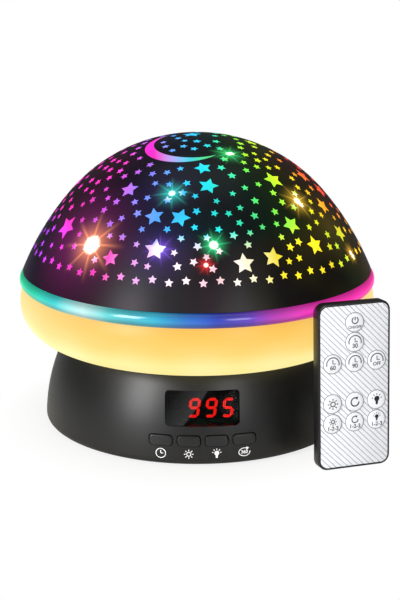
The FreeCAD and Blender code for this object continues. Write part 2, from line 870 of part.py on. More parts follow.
def star_dome():
    shell = dome_body().cut(faceted_body(shell_t, dome_edge_z))
    depth = 3.4 * shell_t
    tools = [on_dome(star_prism(radius, spin, depth), dome_angle(distance), heading - 90)
             for heading, distance, radius, spin in star_places()]
    low = crown_z + math.sqrt(crown_r ** 2 - moon_r ** 2) - 3 * shell_t
    tools.append(moon_prism(low, dome_top_z))
    return shell.cut(tools)


def dome_liner():
    body = faceted_body(shell_t, dome_edge_z).cut(faceted_body(shell_t + liner_t, dome_edge_z))
    seat_r = dome_point(edge_angle, shell_t + liner_t).x
    seat = ring(spigot_r + spigot_gap, table_r - 0.2, table_z, table_z + liner_seat_h)
    low_wall = ring(table_r - 1, seat_r, dome_edge_z, table_z + liner_seat_h)
    return body.fuse([seat, low_wall])


# Card remote

def remote_case():
    body = rounded_prism(-remote_w / 2, remote_w / 2, 0, remote_t, 0, remote_l,
                         remote_corner_r)
    inset = remote_face_inset
    face_room = rounded_prism(-remote_w / 2 + inset, remote_w / 2 - inset, -1, remote_face_t,
                              inset, remote_l - inset, remote_corner_r - inset)
    hollow = rounded_prism(-remote_w / 2 + 2 * remote_wall, remote_w / 2 - 2 * remote_wall,
                           0, remote_t - remote_wall, 2 * remote_wall,
                           remote_l - 2 * remote_wall, remote_corner_r - 2 * remote_wall)
    tray_room = block(-tray_w / 2 - tray_gap, tray_w / 2 + tray_gap,
                      remote_t - remote_wall - tray_t - tray_gap, remote_t - remote_wall,
                      -1, 2 * remote_wall + 1)
    ir_hole = Part.makeCylinder(ir_led_r + seat_gap, 3 * remote_wall,
                                V(0, remote_t / 2, remote_l - 2.5 * remote_wall), UP)
    return body.cut([face_room, hollow, tray_room, ir_hole])


def remote_face():
    gap = 0.05
    inset = remote_face_inset + gap
    sheet = rounded_prism(-remote_w / 2 + inset, remote_w / 2 - inset, 0, remote_face_t,
                          inset, remote_l - inset, remote_corner_r - inset)
    holes = [Part.makeCylinder(key_r + key_gap, 3, V(x, 2, z), FRONT)
             for x, z in key_places.values()]
    return sheet.cut(holes)


def key(x, z):
    """Round key with a thin square plate behind the face that keeps it in."""
    back = remote_face_t + key_travel / 3
    cap = Part.makeCylinder(key_r, key_proud + back, V(x, back, z), FRONT)
    half = key_plate_w / 2
    return cap.fuse(block(x - half, x + half, back, back + key_plate_t, z - half, z + half))


def remote_board():
    half = remote_w / 2 - 2 * remote_wall - remote_board_inset
    return block(-half, half, remote_board_y, remote_board_y + remote_board_t,
                 remote_board_z0, remote_l - ir_led_inset - ir_led_l - seat_gap)


def ir_emitter():
    z0 = remote_l - ir_led_inset - ir_led_l
    return Part.makeCylinder(ir_led_r, ir_led_l, V(0, remote_t / 2, z0), UP)


def battery_tray():
    y1 = remote_t - remote_wall - tray_gap / 2
    body = block(-tray_w / 2, tray_w / 2, y1 - tray_t, y1, 0, tray_l)
    body = body.fuse(Part.makeCylinder(tray_w / 2, tray_t, V(0, y1, tray_l), FRONT))
    room = Part.makeCylinder(coin_r + seat_gap, tray_t, V(0, y1 - 0.3, tray_l), FRONT)
    return body.cut(room)


def coin_cell():
    y1 = remote_t - remote_wall - tray_gap / 2 - 0.3
    return Part.makeCylinder(coin_r, coin_t, V(0, y1, tray_l), FRONT)


def place_remote(shape):
    """Leans the flat-drawn remote on the bowl's rim, its lower edge on the table."""
    lean = math.radians(remote_lean)
    near = abs(remote_side) - remote_w / 2
    reach = math.sqrt(bowl_r ** 2 - near ** 2) + remote_gap
    foot = reach + rim_top_z * math.tan(lean)
    shape.translate(V(0, -remote_t, 0))
    shape.rotate(V(0, 0, 0), V(1, 0, 0), -remote_lean)
    shape.translate(V(remote_side, -foot, 0))
    shape.rotate(V(0, 0, 0), UP, remote_turn)
    return shape


def add(name, shape):
    parts[name] = shape


add("base_housing", base_housing())
add("bottom_cover", bottom_cover())
add("rubber_feet", rubber_feet())
add("cover_screws", cover_screws())
add("window_lens", window_lens())
add("display_module", display_module())
add("lit_segments", digit_segments(True))
add("dark_segments", digit_segments(False))
add("ir_receiver", ir_receiver())
add("control_board", control_board())
add("tact_switches", tact_switches())
for i, name in enumerate(("timer_button", "warm_light_button", "star_light_button",
                          "rotation_button")):
    add(name, button(i))
add("main_board", main_board())
add("power_jack", power_jack())
add("battery_cradle", battery_cradle())
add("battery_cell", battery_cell())
add("battery_contacts", battery_contacts())
add("inner_deck", inner_deck())
add("center_post", center_post())
add("deck_screws", deck_screws())
add("motor", motor())
add("motor_screws", motor_screws())
add("pinion_shaft", pinion_shaft())
add("drive_pinion", drive_pinion())
add("turntable", turntable())
add("thrust_washer", thrust_washer())
add("retaining_clip", retaining_clip())
add("projection_board", projection_board())
add("projection_leds", projection_leds())
add("diffuser_bowl", diffuser_bowl())
add("warm_led_board", warm_led_board())
add("warm_leds", led_circle(warm_led_count, (warm_board_r0 + warm_board_r1) / 2,
                            deck_top + board_t))
add("ring_carrier", ring_carrier())
add("rainbow_ring", rainbow_ring())
add("rgb_led_board", rgb_led_board())
add("rgb_leds", led_circle(rgb_led_count, rim_in_r - rgb_led_inset, carrier_top + board_t))
add("star_dome", star_dome())
add("dome_liner", dome_liner())
add("remote_case", place_remote(remote_case()))
add("remote_face", place_remote(remote_face()))
for name, (x, z) in key_places.items():
    add("key_" + name, place_remote(key(x, z)))
add("remote_board", place_remote(remote_board()))
add("ir_emitter", place_remote(ir_emitter()))
add("battery_tray", place_remote(battery_tray()))
add("coin_cell", place_remote(coin_cell()))

os.makedirs("parts", exist_ok=True)
for name, shape in parts.items():
    shape.exportStep("parts/" + name + ".step")
    print(name, "valid" if shape.isValid() else "NOT VALID", len(shape.Solids), "solid(s)",
          round(shape.Volume), "mm3")
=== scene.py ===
import json
import math
import random

import bmesh
import bpy
from mathutils import Matrix, Vector

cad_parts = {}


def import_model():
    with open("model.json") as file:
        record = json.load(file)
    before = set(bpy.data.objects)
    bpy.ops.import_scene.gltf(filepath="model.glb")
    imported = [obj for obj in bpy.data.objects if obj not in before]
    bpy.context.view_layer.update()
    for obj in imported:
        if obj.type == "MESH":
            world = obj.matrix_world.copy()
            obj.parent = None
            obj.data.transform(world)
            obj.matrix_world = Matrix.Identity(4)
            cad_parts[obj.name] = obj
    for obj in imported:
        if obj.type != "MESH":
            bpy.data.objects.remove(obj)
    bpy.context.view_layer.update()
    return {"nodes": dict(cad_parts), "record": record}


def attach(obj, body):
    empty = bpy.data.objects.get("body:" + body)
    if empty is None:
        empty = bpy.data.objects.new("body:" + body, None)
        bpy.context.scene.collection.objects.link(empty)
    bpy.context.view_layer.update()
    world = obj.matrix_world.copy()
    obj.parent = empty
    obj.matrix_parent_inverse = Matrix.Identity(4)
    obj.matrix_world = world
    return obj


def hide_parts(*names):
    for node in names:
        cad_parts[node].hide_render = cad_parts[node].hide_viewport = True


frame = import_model()
nodes = frame["nodes"]

# Lengths are in millimetres; meshes and shaders scale them to metres.
MM = 0.001
white = (1.0, 1.0, 1.0, 1.0)

# Base: its side is an arc whose centre lies at the height of the table
base_r = 73.16
base_side_r = 84.7
base_mid_r = base_r - base_side_r
base_foot_z = 1.0
base_top_z = 41.4
base_edge_r = 2.4
base_lip_r = 0.5
base_wall = 2.2
base_hole_r = 43.99
cover_top_z = 3.4
cover_seat = 0.4
inlet_w = 10.0
inlet_foot_z = 13.1
inlet_top_z = 17.5
base_cut_from = 50
base_cut_to = 90
print_lift = 0.03

# Display window, with a painted slanting reflection (sheen) that ends in a narrow edge
window_w = 33.0
window_h = 15.0
window_corner_r = 2.0
window_z = 25.9
lens_gap = 0.1
lens_recess = 0.15
painted_sheen_slope = -0.75
painted_sheen_start = -36.0
painted_sheen_end = -22.5
painted_sheen_edge_w = 0.6

# Push buttons, and the outlines of a cap as share of its face and depth behind its front
button_pitch = 12.3
button_w = 10.0
button_h = 4.5
button_z = 12.2
button_gap = 0.35
button_proud = 0.78
button_corner_r = 1.5
cap_rows = ((1.0, 9.0), (1.0, 0.35), (0.985, 0.12), (0.955, 0.02), (0.9, 0.0), (0.6, 0.0),
            (0.3, 0.0))
icon_z = 6.3
icon_r = 2.1
icon_line = 0.34

# Bowl and colour ring; the drawn bowl stays inside the solid one by bowl_inset
bowl_r = 84.0
bowl_inset = 0.01
bowl_section_r = 17.5
bowl_mid_r = bowl_r - bowl_section_r
bowl_mid_z = base_top_z + bowl_section_r
bowl_wall = 1.8
bowl_flange_w = 6.5
bowl_top_z = 66.6
bowl_lamps = 16
ring_foot_r = 82.21
ring_in_r = 79.99
ring_top_z = 72.6
ring_belly = 1.78
ring_bright_z = 70.2
ring_bright_half = 3.0
ring_lamps = 24

# Star dome profile: a crown arc and a side arc that meet at crown_angle
crown_angle = math.radians(48.4)
dome_edge_z = 73.5
dome_edge_r = ring_in_r + 2.4
crown_r = 0.963 * dome_edge_r
side_r = 1.6287 * dome_edge_r
side_x = -(side_r - crown_r) * math.sin(crown_angle)
side_z = dome_edge_z - math.sqrt(side_r ** 2 - (dome_edge_r - side_x) ** 2)
crown_z = side_z + (side_r - crown_r) * math.cos(crown_angle)
shell_t = 1.3
shell_inset = 0.05
star_inset = 0.012

# Large stars: heading from the front towards +X, distance from the apex, radius
front_stars = ((-60, 3.0, 4.6), (87, 25.5, 3.6), (2, 39.0, 4.0), (4, 50.5, 4.6), (44, 50.5, 5.0),
               (-38, 55.0, 4.4), (75, 54.0, 4.6), (79, 64.5, 4.6), (-20, 67.5, 4.4),
               (-9, 67.5, 4.6), (66, 70.5, 4.6), (38, 74.5, 4.6), (-62, 80.0, 6.2),
               (-17, 83.0, 5.0), (65, 85.0, 4.6), (-43, 84.5, 5.0), (45, 86.0, 4.8),
               (-33, 89.0, 4.0), (25, 88.0, 4.8), (14, 89.5, 4.8))
back_star_count = 16
back_star_start = 96.0
back_star_step = 11.5
back_star_rows = (50.0, 72.0, 86.0, 61.0)
back_star_r = 4.6
star_sway = 17
star_waist = 0.5
star_core_share = 0.55

# Small stars: a low row in two steps, and the room kept round those scattered above it
small_star_r = 2.0
low_row_count = 66
low_row_at = 97.6
low_row_step = 1.1
scatter_tries = 15000
scatter_length = 99.0
scatter_start = 5.0
scatter_end = 92.5
small_star_gap = 5.7
large_star_room = 1.0
moon_room = 3.0

# Moon: the circle of its outer edge and the one that bites into it, seen from above
moon_x, moon_y, moon_r = -5.5, -14.2, 18.7
bite_x, bite_y, bite_r = -1.9, -11.8, 18.3

# Painted glints: heading, distance from the apex, halo radius, core radius, colour
painted_glints = ((-43, 84.5, 19.0, 4.2, (1.25, 0.42, 0.13)), (4, 80.5, 9.0, 1.9, (0.05, 1.0, 0.35)),
          (1, 89.5, 6.0, 1.0, (1.0, 0.03, 0.03)), (-15, 83.0, 9.0, 1.2, (0.25, 0.12, 1.0)),
          (-14.4, 55.0, 10.5, 1.4, (0.03, 0.75, 0.65)), (28, 29.0, 10.5, 1.3, (0.05, 0.9, 0.22)),
          (49, 64.0, 11.5, 1.8, (1.0, 0.62, 0.05)), (65, 95.5, 7.0, 1.2, (1.0, 0.5, 0.05)))
painted_glint_white = (1.2, 1.15, 1.0)
ray_pairs = 4.0
ray_skew = 0.6
ray_sharpness = 24.0

# Wide faint painted glow on the shell: heading, distance from the apex, reach, colour
painted_blooms = ((-48, 84.0, 36.0, (0.17, 0.015, 0.11)), (-16, 84.0, 20.0, (0.035, 0.012, 0.12)),
          (60, 80.0, 26.0, (0.05, 0.035, 0.003)), (-20, 55.0, 22.0, (0.012, 0.004, 0.04)))

# Digits behind the window
digit_x = 4.1
digit_z = 24.1
digit_y = -62.3
digit_pitch = 7.5
digit_w = 5.1
digit_h = 9.14
segment_w = 1.3
segment_t = 0.12
segment_gap = 0.1
digit_slope = math.tan(math.radians(8.0))
shown_digits = ("abcdfg", "abcdfg", "acdfg")

# Remote, drawn flat: X across, Y into it, Z along its length
remote_w = 34.0
remote_l = 74.0
remote_t = 6.0
remote_corner_r = 4.5
remote_edge_r = 0.7
remote_wall = 2.0
remote_floor_y = 0.4
remote_back_y = 5.0
face_room_inset = 1.0
face_inset = 1.05
face_t = 0.5
tray_w = 23.4
tray_front_y = 2.4
tray_slot_z = 3.0
key_r = 4.0
key_proud = 0.5
key_mark_lift = 0.01
key_ring_lift = 0.002
key_column = 10.4
key_ring_r = key_r + 0.28
key_ring_w = 0.36
stripe_pitch = 2.6
stripe_share = 0.17
remote_turn = math.radians(16.0)
remote_lean = math.radians(4.0)
remote_side = 43.2
remote_gap = 0.3
remote_reach = math.sqrt(bowl_r ** 2 - (remote_side - remote_w / 2) ** 2) + remote_gap
remote_foot = remote_reach + ring_top_z * math.tan(remote_lean)
remote_matrix = (Matrix.Rotation(remote_turn, 4, "Z")
                 @ Matrix.Translation(Vector((remote_side, -remote_foot, 0)) * MM)
                 @ Matrix.Rotation(-remote_lean, 4, "X")
                 @ Matrix.Translation(Vector((0, -remote_t, 0)) * MM))

# Floor: a little greyer near the lamp
floor_half = 3000.0
floor_grey_r = 70.0
floor_white_r = 100.0

# Colours of the light inside by heading: high up, low down, in the ring, where one pale stop is a
# painted highlight
upper_colors = ((-180, (1.0, 0.02, 0.25)), (-130, (0.9, 0.02, 0.45)), (-90, (0.9, 0.02, 0.55)),
                (-62, (1.0, 0.03, 0.5)), (-45, (0.62, 0.08, 0.75)), (-30, (0.2, 0.2, 0.95)),
                (-15, (0.04, 0.4, 0.95)), (0, (0.0, 0.7, 0.9)), (15, (0.02, 0.85, 0.5)),
                (28, (0.1, 0.88, 0.1)), (42, (0.42, 0.92, 0.02)), (55, (0.9, 0.8, 0.01)),
                (66, (1.0, 0.42, 0.02)), (78, (1.0, 0.08, 0.03)), (110, (1.0, 0.03, 0.05)),
                (180, (1.0, 0.02, 0.25)))
lower_colors = ((-180, (1.0, 0.04, 0.06)), (-120, (0.6, 0.03, 0.7)), (-90, (0.38, 0.03, 0.8)),
                (-70, (0.5, 0.04, 0.85)), (-55, (0.9, 0.03, 0.62)), (-35, (1.0, 0.04, 0.48)),
                (-22, (0.9, 0.4, 0.95)), (-8, (1.0, 0.88, 0.92)), (2, (1.0, 0.55, 0.66)),
                (12, (1.0, 0.92, 0.82)), (20, (1.0, 0.92, 0.4)), (27, (1.0, 0.82, 0.02)),
                (48, (0.95, 0.7, 0.01)), (58, (0.55, 0.9, 0.03)), (72, (0.95, 0.6, 0.02)),
                (95, (1.0, 0.18, 0.02)), (180, (1.0, 0.04, 0.06)))
# Painted highlight: the pale stop at -38 stands for a reflection on the ring
ring_colors_and_painted_highlight = ((-180, (0.95, 0.05, 0.25)), (-110, (0.02, 0.72, 0.3)), (-82, (0.0, 0.66, 0.3)),
               (-62, (0.0, 0.62, 0.38)), (-50, (0.03, 0.66, 0.66)), (-38, (0.6, 0.95, 0.92)),
               (-29, (0.09, 0.62, 0.62)), (-15, (0.02, 0.46, 0.62)), (-5, (0.02, 0.18, 0.62)),
               (4, (0.02, 0.05, 0.48)), (14, (0.12, 0.04, 0.48)), (22, (0.52, 0.04, 0.45)),
               (35, (0.85, 0.03, 0.45)), (60, (1.0, 0.02, 0.42)), (88, (1.0, 0.02, 0.36)),
               (180, (0.95, 0.05, 0.25)))
lower_light_z = (104.0, 96.0)
apex_light_z = (126.0, 130.0)

# Colours of the light inside by place across the lamp: at the apex, in the moon
cross_half = 36.0
apex_colors = ((-36, (0.9, 0.04, 0.6)), (-22, (0.5, 0.12, 0.8)), (-12, (0.1, 0.35, 0.95)),
               (0, (0.02, 0.62, 0.95)), (7, (0.02, 0.8, 0.55)), (13, (0.12, 0.9, 0.08)),
               (22, (0.42, 0.92, 0.02)), (36, (0.95, 0.8, 0.02)))
moon_colors = ((-36, (1.0, 0.01, 0.62)), (-20, (1.0, 0.02, 0.62)), (-15, (0.62, 0.25, 0.8)),
               (-9, (0.22, 0.45, 0.85)), (-4, (0.05, 0.65, 0.75)), (2, (0.08, 0.8, 0.3)),
               (36, (0.4, 0.9, 0.05)))

# Colours of the bowl by share of its height
bowl_colors = ((0.0, (1.0, 0.86, 0.34)), (0.3, (1.0, 0.84, 0.31)), (0.55, (0.98, 0.66, 0.16)),
               (0.85, (0.95, 0.56, 0.095)), (1.0, (0.9, 0.5, 0.08)))


# Places on the dome

def dome_point(angle, inset):
    """Radius and height on the dome's profile at an angle from the axis."""
    if angle <= crown_angle:
        return ((crown_r - inset) * math.sin(angle), crown_z + (crown_r - inset) * math.cos(angle))
    return (side_x + (side_r - inset) * math.sin(angle), side_z + (side_r - inset) * math.cos(angle))


def dome_angle(distance):
    """Profile angle at a distance from the apex along the shell."""
    crown_length = crown_r * crown_angle
    if distance <= crown_length:
        return distance / crown_r
    return crown_angle + (distance - crown_length) / side_r


def dome_frame(heading_deg, distance):
    """Point on the dome with its downward and sideways directions."""
    heading = math.radians(heading_deg)
    angle = dome_angle(distance)
    away = Vector((math.sin(heading), -math.cos(heading), 0))
    radius, z = dome_point(angle, 0)
    point = away * radius + Vector((0, 0, z))
    down = away * math.cos(angle) - Vector((0, 0, math.sin(angle)))
    side = Vector((math.cos(heading), math.sin(heading), 0))
    return point, down, side


def onto_dome(point, inset):
    """Moves a point near the dome's face onto it, below it by inset."""
    radius = math.hypot(point.x, point.y)
    angle = math.atan2(radius, point.z - crown_z)
    if angle > crown_angle:
        angle = math.atan2(radius - side_x, point.z - side_z)
    new_radius, z = dome_point(angle, inset)
    scale = new_radius / radius if radius > 1e-6 else 0.0
    return Vector((point.x * scale, point.y * scale, z))


# Shader nodes

materials = {}


def new_material(name):
    """Empty node material, kept by its name, given as its node tree."""
    mat = bpy.data.materials.new(name)
    mat.use_nodes = True
    mat.node_tree.nodes.clear()
    materials[name] = mat
    return mat.node_tree


def node(tree, kind, inputs=None, **settings):
    """Shader node whose inputs are set to values or linked from sockets."""
    made = tree.nodes.new(kind)
    for key, value in settings.items():
        setattr(made, key, value)
    for key, value in (inputs or {}).items():
        if isinstance(value, bpy.types.NodeSocket):
            tree.links.new(value, made.inputs[key])
        else:
            made.inputs[key].default_value = value
    return made


def calc(tree, operation, *values):
    return node(tree, "ShaderNodeMath", dict(enumerate(values)), operation=operation).outputs[0]


def vector(tree, operation, *values):
    """Sum or difference of vectors, or else the number that the operation measures."""
    made = node(tree, "ShaderNodeVectorMath", dict(enumerate(values)), operation=operation)
    return made.outputs["Vector" if operation in ("ADD", "SUBTRACT") else "Value"]


def scaled(tree, color, factor):
    return node(tree, "ShaderNodeVectorMath", {0: color, "Scale": factor},
                operation="SCALE").outputs[0]


def map_range(tree, value, start, end, low, high, **settings):
    """Value from start to end turned into low to high, held at both ends."""
    return node(tree, "ShaderNodeMapRange", {0: value, 1: start, 2: end, 3: low, 4: high},
                **settings).outputs[0]


def rgba(color):
    return (*color, 1.0)


def mix(tree, share, first, second):
    """Colour between two colours, each a socket or red, green and blue."""
    ends = [c if isinstance(c, bpy.types.NodeSocket) else rgba(c) for c in (first, second)]
    return node(tree, "ShaderNodeMix", {0: share, 6: ends[0], 7: ends[1]},
                data_type="RGBA").outputs[2]


def noise(tree, place, scale):
    return node(tree, "ShaderNodeTexNoise", {"Vector": place, "Scale": scale}).outputs["Fac"]


def ramp(tree, factor, stops):
    made = node(tree, "ShaderNodeValToRGB", {0: factor})
    band = made.color_ramp
    while len(band.elements) < len(stops):
        band.elements.new(0.5)
    for element, (place, color) in zip(band.elements, stops):
        element.position = place
        element.color = rgba(color)
    return made.outputs[0]


def object_place(tree):
    return node(tree, "ShaderNodeTexCoord").outputs["Object"]


def axes(tree, place):
    return node(tree, "ShaderNodeSeparateXYZ", {0: place}).outputs


def principled(tree, inputs):
    """Ends a material with a principled surface."""
    bsdf = node(tree, "ShaderNodeBsdfPrincipled", inputs)
    node(tree, "ShaderNodeOutputMaterial", {"Surface": bsdf.outputs[0]})


def heading_share(tree, place):
    """Heading round the axis as 0 to 1, with 0.5 at the front and 0.75 at +X."""
    x, y = axes(tree, place)[:2]
    turn = calc(tree, "ARCTAN2", x, calc(tree, "MULTIPLY", y, -1.0))
    return calc(tree, "MULTIPLY_ADD", turn, 0.5 / math.pi, 0.5)


def heading_color(tree, turn, table):
    """Colour by heading, from a table in degrees."""
    return ramp(tree, turn, [((heading + 180.0) / 360.0, color) for heading, color in table])


def cross_color(tree, place, table):
    """Colour by place across the lamp, up to cross_half to either side."""
    share = map_range(tree, axes(tree, place)[0], -cross_half * MM, cross_half * MM, 0.0, 1.0)
    return ramp(tree, share, [((x + cross_half) / (2 * cross_half), color) for x, color in table])


def star_color(tree, place):
    """Colour of the light inside by heading, with other sets low down and at the apex."""
    turn = heading_share(tree, place)
    height = axes(tree, place)[2]
    low = map_range(tree, height, lower_light_z[0] * MM, lower_light_z[1] * MM, 0.0, 1.0)
    high = map_range(tree, height, apex_light_z[0] * MM, apex_light_z[1] * MM, 0.0, 1.0)
    side = mix(tree, low, heading_color(tree, turn, upper_colors),
               heading_color(tree, turn, lower_colors))
    return mix(tree, high, side, cross_color(tree, place, apex_colors))


def moon_color(tree, place):
    return cross_color(tree, place, moon_colors)


def lamp_wave(tree, turn, count):
    """Wave round the axis that peaks before each of count lamps."""
    return calc(tree, "COSINE", calc(tree, "MULTIPLY", turn, count * 2 * math.pi))


# Materials

def surface(name, color, rough, metal=0.0, grain=900.0, vary=0.08, bump=0.0, **sockets):
    """Principled finish whose colour and roughness vary a little with a fine noise."""
    tree = new_material(name)
    grains = noise(tree, object_place(tree), grain)
    tint = mix(tree, grains, [c * (1 - vary) for c in color],
               [min(1.0, c * (1 + vary)) for c in color])
    spread = map_range(tree, grains, 0.0, 1.0, max(0.0, rough - 0.04), rough + 0.04)
    inputs = {"Base Color": tint, "Metallic": metal, "Roughness": spread}
    inputs.update({key.replace("_", " "): value for key, value in sockets.items()})
    if bump:
        inputs["Normal"] = node(tree, "ShaderNodeBump", {"Height": grains, "Strength": bump,
                                                         "Distance": 0.0002}).outputs[0]
    principled(tree, inputs)


def window_glow(name, strength, color_at):
    """Lit window in the dome: colour by place, painted paler and brighter as a glint where the core
    attribute is high.
    """
    tree = new_material(name)
    place = object_place(tree)
    # core: painted glint, a white-hot look near the brightest spots
    core = node(tree, "ShaderNodeAttribute", attribute_name="core").outputs["Fac"]
    color = mix(tree, core, color_at(tree, place), (1.0, 0.98, 0.92))
    cloud = noise(tree, place, 45.0)
    power = map_range(tree, cloud, 0.3, 0.7, 0.7 * strength, 1.15 * strength)
    lit = calc(tree, "MULTIPLY_ADD", core, 0.5, power)
    principled(tree, {"Base Color": (0.01, 0.01, 0.01, 1.0), "Roughness": 0.5,
                      "Specular IOR Level": 0.2, "Emission Color": color,
                      "Emission Strength": lit})


def painted_glint_light(tree, place, glint):
    """Painted glint round one bright spot: a core, a halo and short rays along the shell."""
    heading, distance, halo, core_r, color = glint
    centre, down, side = dome_frame(heading, distance)
    offset = vector(tree, "SUBTRACT", place, centre * MM)
    away = vector(tree, "LENGTH", offset)
    turn = calc(tree, "ARCTAN2", vector(tree, "DOT_PRODUCT", offset, down),
                vector(tree, "DOT_PRODUCT", offset, side))
    fade = map_range(tree, away, core_r * 0.4 * MM, halo * MM, 1.0, 0.0)
    rays = calc(tree, "COSINE", calc(tree, "MULTIPLY_ADD", turn, ray_pairs, ray_skew))
    rays = calc(tree, "POWER", calc(tree, "ABSOLUTE", rays), ray_sharpness)
    rays = calc(tree, "MULTIPLY", rays, calc(tree, "POWER", fade, 1.8))
    soft = calc(tree, "MULTIPLY_ADD", rays, 0.8, calc(tree, "POWER", fade, 3.2))
    core = map_range(tree, away, core_r * 0.7 * MM, core_r * 1.25 * MM, 1.0, 0.0,
                     interpolation_type="SMOOTHSTEP")
    return vector(tree, "ADD", scaled(tree, color, soft), scaled(tree, painted_glint_white, core))


def painted_bloom_light(tree, place, bloom):
    """Wide faint painted glow that fades out with the distance from its centre."""
    heading, distance, reach, color = bloom
    away = vector(tree, "DISTANCE", place, dome_frame(heading, distance)[0] * MM)
    fade = map_range(tree, away, 0.0, reach * MM, 1.0, 0.0)
    return scaled(tree, color, calc(tree, "POWER", fade, 1.6))


def dome_black():
    """Satin black shell with painted light: a faint glow in the colours of the light inside, wide
    painted glows, and painted glints round the brightest stars.
    """
    tree = new_material("dome_black")
    place = object_place(tree)
    tone = mix(tree, noise(tree, place, 1400.0), (0.0022, 0.0018, 0.0034),
               (0.004, 0.0032, 0.006))
    # Painted glow: the shell gives off a faint light in the colours of the light inside
    tint = map_range(tree, noise(tree, place, 22.0), 0.35, 0.75, 0.003, 0.026)
    painted_shell_glow = scaled(tree, star_color(tree, place), tint)
    for bloom in painted_blooms:
        painted_shell_glow = vector(tree, "ADD", painted_shell_glow, painted_bloom_light(tree, place, bloom))
    for glint in painted_glints:
        painted_shell_glow = vector(tree, "ADD", painted_shell_glow, painted_glint_light(tree, place, glint))
    principled(tree, {"Base Color": tone, "Roughness": 0.38, "Specular IOR Level": 0.16,
                      "Emission Color": painted_shell_glow, "Emission Strength": 1.0})


def ring_glow():
    """Light ring: colours by heading with one painted highlight among them, brightest along its
    middle and near each lamp.
    """
    tree = new_material("ring_clear")
    place = object_place(tree)
    turn = heading_share(tree, place)
    middle = calc(tree, "SUBTRACT", axes(tree, place)[2], ring_bright_z * MM)
    band = map_range(tree, calc(tree, "ABSOLUTE", middle), 0.0, ring_bright_half * MM, 1.0, 0.45,
                     interpolation_type="SMOOTHSTEP")
    lamp = calc(tree, "MULTIPLY_ADD", lamp_wave(tree, turn, ring_lamps), 0.06, 1.1)
    principled(tree, {"Base Color": (0.02, 0.02, 0.03, 1.0), "Roughness": 0.16,
                      "Coat Weight": 0.1, "Specular IOR Level": 0.35,
                      "Emission Color": heading_color(tree, turn, ring_colors_and_painted_highlight),
                      "Emission Strength": calc(tree, "MULTIPLY", band, lamp)})


def bowl_glow():
    """Warm translucent bowl, paler low down, before each lamp and towards both sides."""
    tree = new_material("bowl_warm")
    place = object_place(tree)
    turn = heading_share(tree, place)
    height = map_range(tree, axes(tree, place)[2], base_top_z * MM, bowl_top_z * MM, 0.0, 1.0)
    low = map_range(tree, height, 0.75, 0.2, 0.0, 1.0)
    lamp = calc(tree, "MULTIPLY_ADD", lamp_wave(tree, turn, bowl_lamps), 0.5, 0.5)
    beside = calc(tree, "ABSOLUTE", calc(tree, "SUBTRACT", turn, 0.5))
    ends = map_range(tree, beside, 0.07, 0.19, 0.0, 0.45)
    share = calc(tree, "MULTIPLY_ADD", calc(tree, "MULTIPLY", lamp, low), 0.3, ends)
    pale = mix(tree, share, ramp(tree, height, bowl_colors), (1.0, 0.95, 0.5))
    principled(tree, {"Base Color": (0.08, 0.05, 0.02, 1.0), "Roughness": 0.4,
                      "Specular IOR Level": 0.3, "Emission Color": pale,
                      "Emission Strength": 0.97})


def smoked_lens():
    """Dark glossy window that lets lit digits through, with a soft slanting painted reflection."""
    tree = new_material("smoked_window")
    place = object_place(tree)
    x, _, z = axes(tree, place)
    # Painted reflection: a faint glow that rises along a slant across the window and stops at a
    # narrow edge
    slant = calc(tree, "MULTIPLY_ADD", z, painted_sheen_slope, x)
    rise = map_range(tree, slant, painted_sheen_start * MM, painted_sheen_end * MM, 0.006, 0.045)
    edge = map_range(tree, slant, painted_sheen_end * MM, (painted_sheen_end + painted_sheen_edge_w) * MM, 1.0, 0.0)
    principled(tree, {"Base Color": (0.003, 0.003, 0.003, 1.0), "Alpha": 0.55,
                      "Roughness": map_range(tree, noise(tree, place, 300.0), 0.0, 1.0, 0.04, 0.08),
                      "Specular IOR Level": 0.03, "Emission Color": white,
                      "Emission Strength": calc(tree, "MULTIPLY", rise, edge)})


def striped_white():
    """White face with thin grey slanting lines, brightened by a painted glow in its own colour."""
    tree = new_material("remote_white")
    place = object_place(tree)
    x, _, z = axes(tree, place)
    along = calc(tree, "DIVIDE", calc(tree, "ADD", x, z), stripe_pitch * MM)
    line = calc(tree, "LESS_THAN", calc(tree, "FRACT", along), stripe_share)
    paper = mix(tree, noise(tree, place, 800.0), (0.84, 0.85, 0.88), (0.88, 0.89, 0.92))
    tone = mix(tree, line, paper, (0.34, 0.36, 0.41))
    # Painted light: the face glows faintly in its own colour
    principled(tree, {"Base Color": tone, "Roughness": 0.45, "Emission Color": tone,
                      "Emission Strength": 0.12})


surface("base_black", (0.005, 0.005, 0.0052), 0.4, grain=1600.0, bump=0.03,
        Specular_IOR_Level=0.5)
surface("foot_rubber", (0.02, 0.02, 0.02), 0.8)
surface("screw_steel", (0.6, 0.6, 0.62), 0.3, metal=1.0)
smoked_lens()
surface("display_black", (0.006, 0.005, 0.005), 0.35)
surface("segment_red", (0.5, 0.01, 0.01), 0.4, vary=0.02,
        Emission_Color=(1.0, 0.01, 0.006, 1.0), Emission_Strength=3.8)
surface("segment_dark", (0.03, 0.008, 0.008), 0.4)
surface("receiver_dark", (0.004, 0.002, 0.004), 0.5)
surface("board_green", (0.02, 0.18, 0.07), 0.35, grain=300.0, vary=0.2)
surface("switch_black", (0.03, 0.03, 0.03), 0.5)
surface("jack_steel", (0.7, 0.7, 0.72), 0.25, metal=1.0)
surface("inner_grey", (0.3, 0.31, 0.32), 0.5)
surface("inner_black", (0.02, 0.02, 0.022), 0.5)
surface("cell_wrap", (0.05, 0.2, 0.55), 0.3, grain=120.0)
surface("contact_metal", (0.75, 0.72, 0.62), 0.3, metal=1.0)
surface("gear_white", (0.8, 0.8, 0.78), 0.4)
surface("board_white", (0.78, 0.78, 0.76), 0.4)
surface("led_white", (0.9, 0.85, 0.6), 0.3, Emission_Color=(1.0, 0.9, 0.6, 1.0),
        Emission_Strength=0.6)
bowl_glow()
ring_glow()
dome_black()
